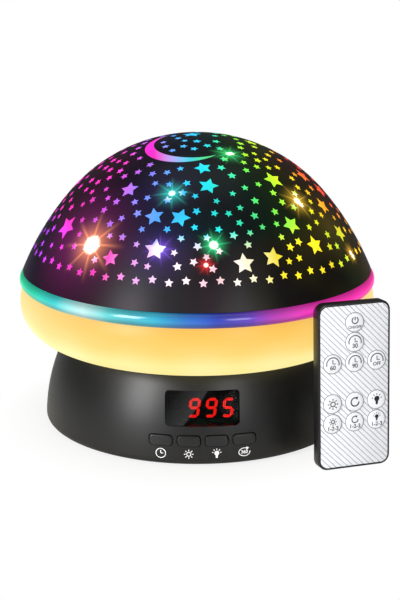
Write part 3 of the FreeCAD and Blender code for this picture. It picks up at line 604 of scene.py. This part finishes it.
surface("liner_frost", (0.75, 0.75, 0.8), 0.6, Transmission_Weight=0.3)
surface("button_black", (0.01, 0.01, 0.011), 0.34, grain=1200.0)
surface("remote_black", (0.01, 0.01, 0.011), 0.35, grain=1200.0)
striped_white()
# Painted light: the keys glow faintly in their own white
surface("key_white", (0.88, 0.89, 0.92), 0.38, vary=0.02,
        Emission_Color=(0.88, 0.89, 0.92, 1.0), Emission_Strength=0.14)
window_glow("star_glow", 1.32, star_color)
window_glow("moon_glow", 1.15, moon_color)
# Painted light: the white signs glow a little
surface("print_white", (0.85, 0.85, 0.85), 0.5, vary=0.04, Emission_Color=white,
        Emission_Strength=0.25)
surface("print_grey", (0.008, 0.008, 0.009), 0.6)
surface("ring_grey", (0.3, 0.31, 0.33), 0.5)

slots = {part["node"]: part["material_slot"] for part in frame["record"]["subparts"]}
for name, obj in nodes.items():
    obj.data.materials.clear()
    obj.data.materials.append(materials[slots[name]])


# Meshes

def add_object(name, data):
    obj = bpy.data.objects.new(name, data)
    bpy.context.scene.collection.objects.link(obj)
    return obj


def link(name, mesh, finish, body, replaced=None, matrix=None, sharp=30.0):
    """Piece that moves with a body, and stands in for a node where one is named."""
    mesh.materials.clear()
    mesh.materials.append(materials[finish])
    mesh.shade_smooth()
    mesh.set_sharp_from_angle(angle=math.radians(sharp))
    obj = add_object(name, mesh)
    if matrix is not None:
        obj.matrix_world = matrix
    bpy.context.view_layer.update()
    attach(obj, body)
    if replaced:
        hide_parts(replaced)


def mesh_from(verts, faces, merge=True):
    """Mesh in metres; merging joins doubled points and turns the faces outwards."""
    mesh = bpy.data.meshes.new("mesh")
    mesh.from_pydata([Vector(v) * MM for v in verts], [], faces)
    if merge:
        bm = bmesh.new()
        bm.from_mesh(mesh)
        bmesh.ops.remove_doubles(bm, verts=bm.verts, dist=1e-7)
        bmesh.ops.recalc_face_normals(bm, faces=bm.faces)
        bm.to_mesh(mesh)
        bm.free()
    return mesh


def lathe(profile, count=256):
    """Closed solid turned about Z from a closed outline of (radius, z)."""
    size = len(profile)
    verts = []
    for i in range(count):
        turn = 2 * math.pi * i / count
        verts += [(r * math.cos(turn), r * math.sin(turn), z) for r, z in profile]
    faces = []
    for i in range(count):
        j = (i + 1) % count
        for k in range(size):
            m = (k + 1) % size
            faces.append((i * size + k, j * size + k, j * size + m, i * size + m))
    return mesh_from(verts, faces)


def band_quads(rows, size, first=0):
    """Quads that join each closed row of points to the next."""
    return [(first + r * size + k, first + r * size + (k + 1) % size,
             first + (r + 1) * size + (k + 1) % size, first + (r + 1) * size + k)
            for r in range(rows - 1) for k in range(size)]


def fan(first, size, tip):
    """Triangles from a closed row of points to one point."""
    return [(first + k, first + (k + 1) % size, tip) for k in range(size)]


def arc(x, z, radius, start_deg, end_deg, count):
    turns = [math.radians(start_deg + (end_deg - start_deg) * i / count)
             for i in range(count + 1)]
    return [(x + radius * math.cos(t), z + radius * math.sin(t)) for t in turns]


def circle(x, z, radius, count=32):
    return arc(x, z, radius, 0, 360, count)[:-1]


def box_outline(x0, x1, z0, z1):
    return [(x0, z0), (x1, z0), (x1, z1), (x0, z1)]


def rounded_outline(x0, x1, z0, z1, radius, steps):
    points = []
    for cx, cz, start in ((x1 - radius, z1 - radius, 0), (x0 + radius, z1 - radius, 90),
                          (x0 + radius, z0 + radius, 180), (x1 - radius, z0 + radius, 270)):
        points += arc(cx, cz, radius, start, start + 90, steps)
    return points


def grown_outline(x, z, width, height, radius, grow, steps):
    """Rounded outline about a centre, moved outwards by grow."""
    return rounded_outline(x - width / 2 - grow, x + width / 2 + grow, z - height / 2 - grow,
                           z + height / 2 + grow, radius + grow, steps)


def prisms(outlines, y0, y1):
    """Solids between two depths along Y, each from an outline of (x, z)."""
    verts = []
    faces = []
    for outline in outlines:
        first = len(verts)
        size = len(outline)
        verts += [(x, y, z) for y in (y0, y1) for x, z in outline]
        faces.append(tuple(range(first, first + size)))
        faces.append(tuple(range(first + 2 * size - 1, first + size - 1, -1)))
        faces += [(first + k, first + k + size, first + (k + 1) % size + size,
                   first + (k + 1) % size) for k in range(size)]
    return mesh_from(verts, faces)


def cut(mesh, cutters):
    """Mesh with the cutters taken away."""
    target = add_object("target", mesh)
    tools = [add_object("tool", cutter) for cutter in cutters]
    for tool in tools:
        step = target.modifiers.new("cut", "BOOLEAN")
        step.operation = "DIFFERENCE"
        step.solver = "EXACT"
        step.object = tool
    graph = bpy.context.evaluated_depsgraph_get()
    made = bpy.data.meshes.new_from_object(target.evaluated_get(graph))
    for obj in [target] + tools:
        bpy.data.objects.remove(obj)
    return made


# Base housing and display window

def base_radius(z, grow=0.0):
    return base_mid_r + math.sqrt((base_side_r + grow) ** 2 - z ** 2)


def on_base(x, z, grow):
    """Point on the base's front side, raised by grow."""
    return (x, -math.sqrt(base_radius(z, grow) ** 2 - x ** 2), z)


def button_x(i):
    return (i - 1.5) * button_pitch


def base_profile():
    round_z = base_foot_z + base_edge_r
    cover_r = base_radius(base_foot_z) - base_edge_r - base_wall + cover_seat
    lip_z = base_top_z - base_lip_r
    deck_z = base_top_z - base_wall
    points = [(cover_r, base_foot_z)]
    points += arc(base_radius(round_z) - base_edge_r, round_z, base_edge_r, -90, 0, 8)
    levels = [round_z + (lip_z - round_z) * i / 40 for i in range(1, 41)]
    points += [(base_radius(z), z) for z in levels]
    points += arc(base_radius(lip_z) - base_lip_r, lip_z, base_lip_r, 10, 90, 4)
    points += [(base_hole_r, base_top_z), (base_hole_r, deck_z)]
    inner = [deck_z - (deck_z - cover_top_z) * i / 12 for i in range(13)]
    points += [(base_radius(z, -base_wall), z) for z in inner]
    return points + [(cover_r, cover_top_z)]


def base_shell():
    """Base with its window, its button holes and the inlet at the back."""
    front = [grown_outline(0, window_z, window_w, window_h, window_corner_r, 0, 10)]
    front += [grown_outline(button_x(i), button_z, button_w, button_h, button_corner_r,
                            button_gap, 5) for i in range(4)]
    inlet = box_outline(-inlet_w / 2, inlet_w / 2, inlet_foot_z, inlet_top_z)
    cutters = [prisms([outline], -base_cut_to, -base_cut_from) for outline in front]
    cutters.append(prisms([inlet], base_cut_from, base_cut_to))
    return cut(lathe(base_profile()), cutters)


def wrapped_patch(outline, front_depth, back_depth, rings=10):
    """Curved plate in the base's side; each face shrinks to its middle in rings."""
    cx = sum(p[0] for p in outline) / len(outline)
    cz = sum(p[1] for p in outline) / len(outline)
    size = len(outline)
    block = size * rings + 1
    verts = []
    faces = []
    for layer, depth in enumerate((front_depth, back_depth)):
        for ring in range(rings):
            share = 1 - ring / rings
            verts += [on_base(cx + (x - cx) * share, cz + (z - cz) * share, -depth)
                      for x, z in outline]
        verts.append(on_base(cx, cz, -depth))
        first = layer * block
        faces += band_quads(rings, size, first)
        faces += fan(first + (rings - 1) * size, size, first + rings * size)
    faces += [(k, (k + 1) % size, block + (k + 1) % size, block + k) for k in range(size)]
    return mesh_from(verts, faces)


link("base_shell", base_shell(), "base_black", "base", "base_housing")
lens_outline = grown_outline(0, window_z, window_w, window_h, window_corner_r, -lens_gap, 10)
link("window_pane", wrapped_patch(lens_outline, lens_recess, base_wall), "smoked_window",
     "base", "window_lens")


# Bowl, ring and dome shell

def bowl_profile():
    rise = bowl_top_z - bowl_mid_z
    inner_r = bowl_section_r - bowl_wall
    outer_end = math.degrees(math.asin(rise / bowl_section_r))
    inner_end = math.degrees(math.asin(rise / inner_r))
    flange_in_r = bowl_mid_r - bowl_flange_w
    points = [(flange_in_r, base_top_z)]
    points += arc(bowl_mid_r - bowl_inset, bowl_mid_z, bowl_section_r, -90, outer_end, 40)
    points += arc(bowl_mid_r, bowl_mid_z, inner_r, inner_end, -90, 20)
    return points + [(flange_in_r, base_top_z + bowl_wall)]


def ring_profile():
    half = (ring_top_z - bowl_top_z) / 2
    radius = (half ** 2 + ring_belly ** 2) / (2 * ring_belly)
    sweep = math.degrees(math.asin(half / radius))
    side = arc(ring_foot_r + ring_belly - radius, bowl_top_z + half, radius, -sweep, sweep, 16)
    return [(ring_in_r, bowl_top_z)] + side + [(ring_in_r, ring_top_z)]


def dome_profile():
    edge = math.acos((dome_edge_z - side_z) / side_r)
    angles = [edge * i / 64 for i in range(65)]
    outer = [dome_point(a, shell_inset) for a in angles]
    inner = [dome_point(a, shell_t) for a in reversed(angles)]
    outer[-1] = (outer[-1][0], dome_edge_z)
    inner[0] = (inner[0][0], dome_edge_z)
    return outer + inner


link("glow_bowl", lathe(bowl_profile()), "bowl_warm", "base", "diffuser_bowl")
link("light_ring", lathe(ring_profile()), "ring_clear", "base", "rainbow_ring")
link("dome_shell", lathe(dome_profile()), "dome_black", "dome", "star_dome")


# Stars and moon

def set_core(mesh, values):
    mesh.attributes.new("core", "FLOAT", "POINT").data.foreach_set("value", values)


def painted_glint_core(point):
    """How far a star is painted white here as a glint, from how near the brightest spots are."""
    best = 0.0
    for heading, distance, halo, core_r, _ in painted_glints:
        gap = (dome_frame(heading, distance)[0] - point).length
        best = max(best, 1.0 - (gap - core_r) / (halo * 0.35))
    return min(1.0, best)


def star_mesh(places):
    """Star windows lying on the dome: (heading, distance, radius, spin)."""
    verts = []
    faces = []
    for heading, distance, radius, spin in places:
        point, down, side = dome_frame(heading, distance)
        first = len(verts)
        verts.append(onto_dome(point, star_inset))
        for share in (star_core_share, 1.0):
            for k in range(10):
                reach = radius * share * (1 if k % 2 == 0 else star_waist)
                turn = math.radians(spin + 36.0 * k)
                spot = point + down * (reach * math.cos(turn)) + side * (reach * math.sin(turn))
                verts.append(onto_dome(spot, star_inset))
        for k in range(10):
            a = first + 1 + k
            b = first + 1 + (k + 1) % 10
            faces += [(first, a, b), (a, a + 10, b + 10, b)]
    mesh = mesh_from(verts, faces, merge=False)
    set_core(mesh, [painted_glint_core(v) for v in verts])
    return mesh


def moon_mesh(steps=64, across=6):
    """Crescent between two circles seen from above, laid on the dome."""
    gap = math.hypot(bite_x - moon_x, bite_y - moon_y)
    facing = math.atan2(moon_y - bite_y, moon_x - bite_x)
    reach = (moon_r ** 2 - bite_r ** 2 + gap ** 2) / (2 * gap)
    outer_half = math.pi - math.acos(reach / moon_r)
    inner_half = math.pi - math.acos((reach - gap) / bite_r)
    verts = []
    for i in range(steps + 1):
        share = 2 * i / steps - 1
        outer = Vector((moon_x + moon_r * math.cos(facing + outer_half * share),
                        moon_y + moon_r * math.sin(facing + outer_half * share)))
        inner = Vector((bite_x + bite_r * math.cos(facing + inner_half * share),
                        bite_y + bite_r * math.sin(facing + inner_half * share)))
        for j in range(across + 1):
            p = outer.lerp(inner, j / across)
            z = crown_z + math.sqrt(crown_r ** 2 - p.x ** 2 - p.y ** 2)
            verts.append(onto_dome(Vector((p.x, p.y, z)), star_inset))
    faces = []
    for i in range(steps):
        for j in range(across):
            a = i * (across + 1) + j
            faces.append((a, a + 1, a + across + 2, a + across + 1))
    mesh = mesh_from(verts, faces)
    set_core(mesh, [0.0] * len(mesh.vertices))
    return mesh


def near_moon(point):
    """Whether a point is on the crescent or within moon_room of it."""
    return (math.hypot(point.x - moon_x, point.y - moon_y) < moon_r + moon_room
            and math.hypot(point.x - bite_x, point.y - bite_y) > bite_r - moon_room)


def large_stars():
    """Large stars, front and back, each leaning a little."""
    front = [(heading, distance, radius, 180 + star_sway * (i % 3 - 1))
             for i, (heading, distance, radius) in enumerate(front_stars)]
    back = [(back_star_start + back_star_step * k, back_star_rows[k % 4], back_star_r,
             180 + star_sway * (k % 3 - 1)) for k in range(back_star_count)]
    return front + back


def small_stars(large):
    """The low row, then random places clear of the moon and all other stars."""
    large_points = [(dome_frame(star[0], star[1])[0], star[2]) for star in large]
    placed = []
    small = []
    for k in range(low_row_count):
        heading = 360.0 * k / low_row_count
        distance = low_row_at - low_row_step * (k % 2)
        placed.append(dome_frame(heading, distance)[0])
        small.append((heading, distance, small_star_r, 180))
    rng = random.Random(7)
    for _ in range(scatter_tries):
        distance = scatter_length * rng.random()
        if rng.random() > dome_point(dome_angle(distance), 0)[0] / dome_edge_r:
            continue
        heading = rng.uniform(-180, 180)
        point = dome_frame(heading, distance)[0]
        if (scatter_start <= distance <= scatter_end and not near_moon(point)
                and all((point - p).length >= small_star_gap for p in placed)
                and all((point - p).length >= r + small_star_r + large_star_room
                        for p, r in large_points)):
            placed.append(point)
            small.append((heading, distance, small_star_r * rng.uniform(0.82, 1.08),
                          rng.uniform(0, 360)))
    return small


large = large_stars()
link("star_windows", star_mesh(large + small_stars(large)), "star_glow", "dome")
link("moon_window", moon_mesh(), "moon_glow", "dome")


# Digits

def segment_outline(digit, letter):
    """Six-sided bar of one leaning digit, as (x, z) points."""
    half_w = (digit_w - segment_w) / 2
    quarter = (digit_h - segment_w) / 4
    u, v, upright = {"a": (0, 2 * quarter, 0), "b": (half_w, quarter, 1),
                     "c": (half_w, -quarter, 1), "d": (0, -2 * quarter, 0),
                     "e": (-half_w, -quarter, 1), "f": (-half_w, quarter, 1),
                     "g": (0, 0, 0)}[letter]
    half = (quarter if upright else half_w) - segment_gap
    nose = segment_w / 2
    middle_x = digit_x + (digit - 1) * digit_pitch
    points = []
    for along, across in ((-half, 0), (-half + nose, nose), (half - nose, nose), (half, 0),
                          (half - nose, -nose), (-half + nose, -nose)):
        px, pz = (across, along) if upright else (along, across)
        points.append((middle_x + u + px + (v + pz) * digit_slope, digit_z + v + pz))
    return points


def digit_bars(lit):
    """All bars that are lit, or all that are dark."""
    outlines = [segment_outline(digit, letter) for digit, shown in enumerate(shown_digits)
                for letter in "abcdefg" if (letter in shown) == lit]
    return prisms(outlines, digit_y, digit_y + segment_t)


link("lit_digits", digit_bars(True), "segment_red", "base", "lit_segments")
link("dark_digits", digit_bars(False), "segment_dark", "base", "dark_segments")


# Buttons

def button_cap(i):
    """Cap with its long edges rounded, its front following the base's side."""
    cx = button_x(i)
    outline = grown_outline(cx, button_z, button_w, button_h, button_corner_r, 0, 5)
    size = len(outline)
    verts = []
    for share, drop in cap_rows:
        for px, pz in outline:
            x, y, z = on_base(cx + (px - cx) * share, button_z + (pz - button_z) * share,
                              button_proud)
            verts.append((x, y + drop, z))
    verts.append(on_base(cx, button_z, button_proud))
    faces = [tuple(range(size))] + band_quads(len(cap_rows), size)
    return mesh_from(verts, faces + fan((len(cap_rows) - 1) * size, size, len(verts) - 1))


for i, name in enumerate(("timer_button", "warm_light_button", "star_light_button",
                          "rotation_button")):
    link(name + "_cap", button_cap(i), "button_black", name, name, sharp=50.0)


# Printed signs, drawn flat as strips and filled outlines

def stroke(points, width, closed=False):
    """Flat strip along a line of points."""
    count = len(points)
    verts = []
    for i, (x, z) in enumerate(points):
        before = points[(i - 1) % count] if closed or i > 0 else points[i]
        after = points[(i + 1) % count] if closed or i < count - 1 else points[i]
        dx, dz = after[0] - before[0], after[1] - before[1]
        length = math.hypot(dx, dz)
        nx, nz = -dz / length * width / 2, dx / length * width / 2
        verts += [(x + nx, z + nz), (x - nx, z - nz)]
    faces = []
    for i in range(count if closed else count - 1):
        j = (i + 1) % count
        faces.append((2 * i, 2 * j, 2 * j + 1, 2 * i + 1))
    return verts, faces


def filled(points):
    return points, [tuple(range(len(points)))]


def words(text, size, x, z):
    """Plain lettering centred on a place."""
    curve = bpy.data.curves.new("words", "FONT")
    curve.body = text
    curve.size = size
    curve.align_x = "CENTER"
    curve.align_y = "CENTER"
    curve.offset = 0.022 * size
    obj = add_object("words", curve)
    bpy.context.view_layer.update()
    mesh = obj.to_mesh()
    verts = [(x + v.co.x, z + v.co.y) for v in mesh.vertices]
    faces = [tuple(p.vertices) for p in mesh.polygons]
    obj.to_mesh_clear()
    bpy.data.objects.remove(obj)
    return verts, faces


def join(pieces):
    verts = []
    faces = []
    for piece_verts, piece_faces in pieces:
        first = len(verts)
        verts += piece_verts
        faces += [tuple(first + k for k in face) for face in piece_faces]
    return verts, faces


def clock(x, z, r, w):
    return [stroke(circle(x, z, r), w, True), stroke([(x, z + 0.65 * r), (x, z)], w),
            stroke([(x, z), (x + 0.5 * r, z)], w)]


def open_clock(x, z, r, w):
    """Clock face open at the foot, to stand over a word."""
    return [stroke(arc(x, z, r, -15, 195, 24), w),
            stroke([(x, z + r - 1.0), (x, z + 0.1), (x + 1.3, z + 0.1)], w)]


def sun(x, z, r, w):
    pieces = [stroke(circle(x, z, 0.42 * r), w, True)]
    for k in range(8):
        c, s = math.cos(math.pi * k / 4), math.sin(math.pi * k / 4)
        pieces.append(stroke([(x + 0.66 * r * c, z + 0.66 * r * s), (x + r * c, z + r * s)], w))
    return pieces


def bulb(x, z, r, w):
    glass_z = z + 0.18 * r
    pieces = [filled(circle(x, glass_z, 0.5 * r, 20)),
              filled([(x - 0.24 * r, z - 0.25 * r), (x + 0.24 * r, z - 0.25 * r),
                      (x + 0.2 * r, z - 0.85 * r), (x - 0.2 * r, z - 0.85 * r)])]
    for k in range(5):
        turn = math.radians(10 + 40 * k)
        c, s = math.cos(turn), math.sin(turn)
        pieces.append(stroke([(x + 0.7 * r * c, glass_z + 0.7 * r * s),
                              (x + r * c, glass_z + r * s)], w))
    return pieces


def turn_arrow(x, z, r, w):
    bend = arc(x, z, 0.8 * r, 60, 360, 30)
    tip_x, tip_z = bend[0]
    return [stroke(bend, w), filled([(tip_x + 0.25 * r, tip_z + 0.3 * r),
                                     (tip_x - 0.4 * r, tip_z + 0.22 * r),
                                     (tip_x + 0.05 * r, tip_z - 0.35 * r)])]


def loop_360(x, z, r, w):
    """Flattened loop with an arrow head round the number."""
    bend = [(px, z + (pz - z) * 0.72) for px, pz in arc(x, z, 1.25 * r, 60, 370, 36)]
    tip_x, tip_z = bend[0]
    return [stroke(bend, w), words("360", 1.05 * r, x, z),
            filled([(tip_x + 0.45 * r, tip_z + 0.05 * r), (tip_x - 0.2 * r, tip_z + 0.4 * r),
                    (tip_x - 0.15 * r, tip_z - 0.35 * r)])]


def power(x, z, r, w):
    return [stroke(arc(x, z, r, 120, 420, 28), w), stroke([(x, z + 1.15 * r), (x, z)], w)]


base_signs = (("timer_mark", clock, icon_r), ("warm_light_mark", sun, icon_r),
              ("star_light_mark", bulb, icon_r), ("rotation_mark", loop_360, 0.95 * icon_r))
for i, (name, sign, radius) in enumerate(base_signs):
    verts, faces = join(sign(button_x(i), icon_z, radius, icon_line))
    wrapped = [on_base(x, z, print_lift) for x, z in verts]
    link(name, mesh_from(wrapped, faces, merge=False), "print_white", "base")


# Remote

def remote_outline(inset, steps=6):
    """The remote's outline, drawn in by inset."""
    return rounded_outline(inset - remote_w / 2, remote_w / 2 - inset, inset, remote_l - inset,
                           remote_corner_r - inset, steps)


def remote_slab(inset, front, back, edge):
    """Slab across the remote with softened front and back edges."""
    rows = ((edge, front), (0.3 * edge, front + 0.3 * edge), (0, front + edge),
            (0, back - edge), (0.3 * edge, back - 0.3 * edge), (edge, back))
    verts = [(x, y, z) for more, y in rows for x, z in remote_outline(inset + more, 10)]
    size = len(verts) // len(rows)
    faces = [tuple(range(size)), tuple(range(len(verts) - 1, len(verts) - 1 - size, -1))]
    return mesh_from(verts, faces + band_quads(len(rows), size))


def remote_shell():
    """Case with room for the face, a hollow and the slot of the battery tray."""
    tray_slot = box_outline(-tray_w / 2, tray_w / 2, -1, tray_slot_z)
    return cut(remote_slab(0, 0.0, remote_t, remote_edge_r),
               [prisms([remote_outline(face_room_inset)], -1, face_t),
                prisms([remote_outline(remote_wall)], remote_floor_y, remote_back_y),
                prisms([tray_slot], tray_front_y, remote_back_y)])


def key_cap(x, z):
    """Round cap with a softened front edge, standing proud of the face."""
    rows = ((key_r, face_t), (key_r, -0.25), (key_r - 0.12, -0.42), (key_r - 0.4, -key_proud),
            (0.001, -key_proud))
    count = 48
    verts = [(px, y, pz) for r, y in rows for px, pz in circle(x, z, r, count)]
    return mesh_from(verts, [tuple(range(count))] + band_quads(len(rows), count))


def flat_mark(name, pieces, y, body, finish):
    verts, faces = join(pieces)
    link(name, mesh_from([(x, y, z) for x, z in verts], faces, merge=False), finish, body,
         matrix=remote_matrix)


# Keys: name, column, height, sign with its lift, radius and line, word with its size and drop
keys = (("on_off", 0, 65.4, power, 0.9, 1.4, 0.5, "ON/OFF", 1.75, 2.1),
        ("timer_30", 0, 56.6, open_clock, 0.1, 2.9, 0.46, "30", 2.7, 1.6),
        ("timer_60", -1, 47.7, open_clock, 0.1, 2.9, 0.46, "60", 2.7, 1.6),
        ("timer_90", 0, 47.7, open_clock, 0.1, 2.9, 0.46, "90", 2.7, 1.6),
        ("timer_off", 1, 47.7, open_clock, 0.1, 2.9, 0.46, "OFF", 2.2, 1.6),
        ("warm_light", -1, 29.9, sun, 0, 2.5, 0.48, "", 0, 0),
        ("rotation", 0, 29.9, turn_arrow, 0, 2.3, 0.576, "", 0, 0),
        ("bulb_light", 1, 29.9, bulb, 0, 2.5, 0.384, "", 0, 0),
        ("warm_level", -1, 20.9, sun, 1.1, 1.8, 0.408, "1-2-3", 2.5, 2.0),
        ("rotation_speed", 0, 20.9, turn_arrow, 1.1, 1.8, 0.48, "1-2-3", 2.5, 2.0),
        ("bulb_level", 1, 20.9, bulb, 1.1, 1.8, 0.336, "1-2-3", 2.5, 2.0))

link("remote_shell", remote_shell(), "remote_black", "remote", "remote_case", remote_matrix)
link("remote_front", remote_slab(face_inset, 0.02, face_t, 0.1), "remote_white", "remote",
     "remote_face", remote_matrix)
for name, column, z, sign, lift, radius, line, word, size, drop in keys:
    body = "key_" + name
    x = column * key_column
    link(body + "_cap", key_cap(x, z), "key_white", body, body, remote_matrix, sharp=40.0)
    pieces = sign(x, z + lift, radius, line)
    if word:
        pieces.append(words(word, size, x, z - drop))
    flat_mark(body + "_mark", pieces, -key_proud - key_mark_lift, body, "print_grey")
    flat_mark(body + "_ring", [stroke(circle(x, z, key_ring_r, 48), key_ring_w, True)],
              -key_ring_lift, "remote", "ring_grey")


# Floor, light, world and camera

def floor():
    """Pale floor that turns into plain white for the camera away from the lamp."""
    tree = new_material("floor_pale")
    place = object_place(tree)
    tone = mix(tree, noise(tree, place, 3.0), (0.93, 0.93, 0.93), (0.95, 0.95, 0.95))
    matt = node(tree, "ShaderNodeBsdfPrincipled", {"Base Color": tone, "Roughness": 0.6,
                                                   "Specular IOR Level": 0.2})
    shine = node(tree, "ShaderNodeEmission", {"Color": white, "Strength": 1.0})
    far = map_range(tree, vector(tree, "LENGTH", place), floor_grey_r * MM,
                    floor_white_r * MM, 0.82, 1.0, interpolation_type="SMOOTHSTEP")
    seen = node(tree, "ShaderNodeLightPath").outputs["Is Camera Ray"]
    both = node(tree, "ShaderNodeMixShader", {0: calc(tree, "MULTIPLY", far, seen),
                                              1: matt.outputs[0], 2: shine.outputs[0]})
    node(tree, "ShaderNodeOutputMaterial", {"Surface": both.outputs[0]})
    corners = box_outline(-floor_half, floor_half, -floor_half, floor_half)
    mesh = mesh_from([(x, y, 0) for x, y in corners], [(0, 1, 2, 3)], merge=False)
    mesh.materials.append(materials["floor_pale"])
    add_object("floor", mesh)


def area_light(name, place, target, power, width, height):
    data = bpy.data.lights.new(name, "AREA")
    data.energy = power
    data.shape = "RECTANGLE"
    data.size = width
    data.size_y = height
    obj = add_object(name, data)
    obj.location = place
    obj.rotation_euler = (Vector(target) - Vector(place)).to_track_quat("-Z", "Y").to_euler()


def world():
    """Soft white light all round, plain white where the camera looks past the lamp."""
    made = bpy.data.worlds.new("world")
    bpy.context.scene.world = made
    made.use_nodes = True
    tree = made.node_tree
    tree.nodes.clear()
    light = node(tree, "ShaderNodeBackground", {"Color": white, "Strength": 0.11})
    backdrop = node(tree, "ShaderNodeBackground", {"Color": white, "Strength": 1.0})
    seen = node(tree, "ShaderNodeLightPath").outputs["Is Camera Ray"]
    both = node(tree, "ShaderNodeMixShader", {0: seen, 1: light.outputs[0],
                                              2: backdrop.outputs[0]})
    node(tree, "ShaderNodeOutputWorld", {"Surface": both.outputs[0]})


def camera():
    """Camera before the lamp, a little to its left, looking down on it."""
    data = bpy.data.cameras.new("camera")
    data.lens = 84.4
    data.shift_x = 0.005
    data.clip_start = 0.01
    obj = add_object("camera", data)
    obj.location = (-0.0227, -0.6496, 0.2369)
    obj.rotation_euler = (math.radians(90 - 15.52), 0, math.radians(-2.0))
    bpy.context.scene.camera = obj


floor()
area_light("key_lamp", (-0.62, -0.62, 0.4), (0, 0, 0.03), 7.5, 0.26, 0.5)
area_light("fill_lamp", (0.42, -0.95, 0.45), (0.03, -0.07, 0.04), 2.9, 0.26, 0.5)
area_light("top_lamp", (0.0, 0.15, 1.1), (0, 0, 0.05), 1.7, 0.8, 0.8)
world()
camera()
bpy.context.scene.view_settings.view_transform = "Standard"
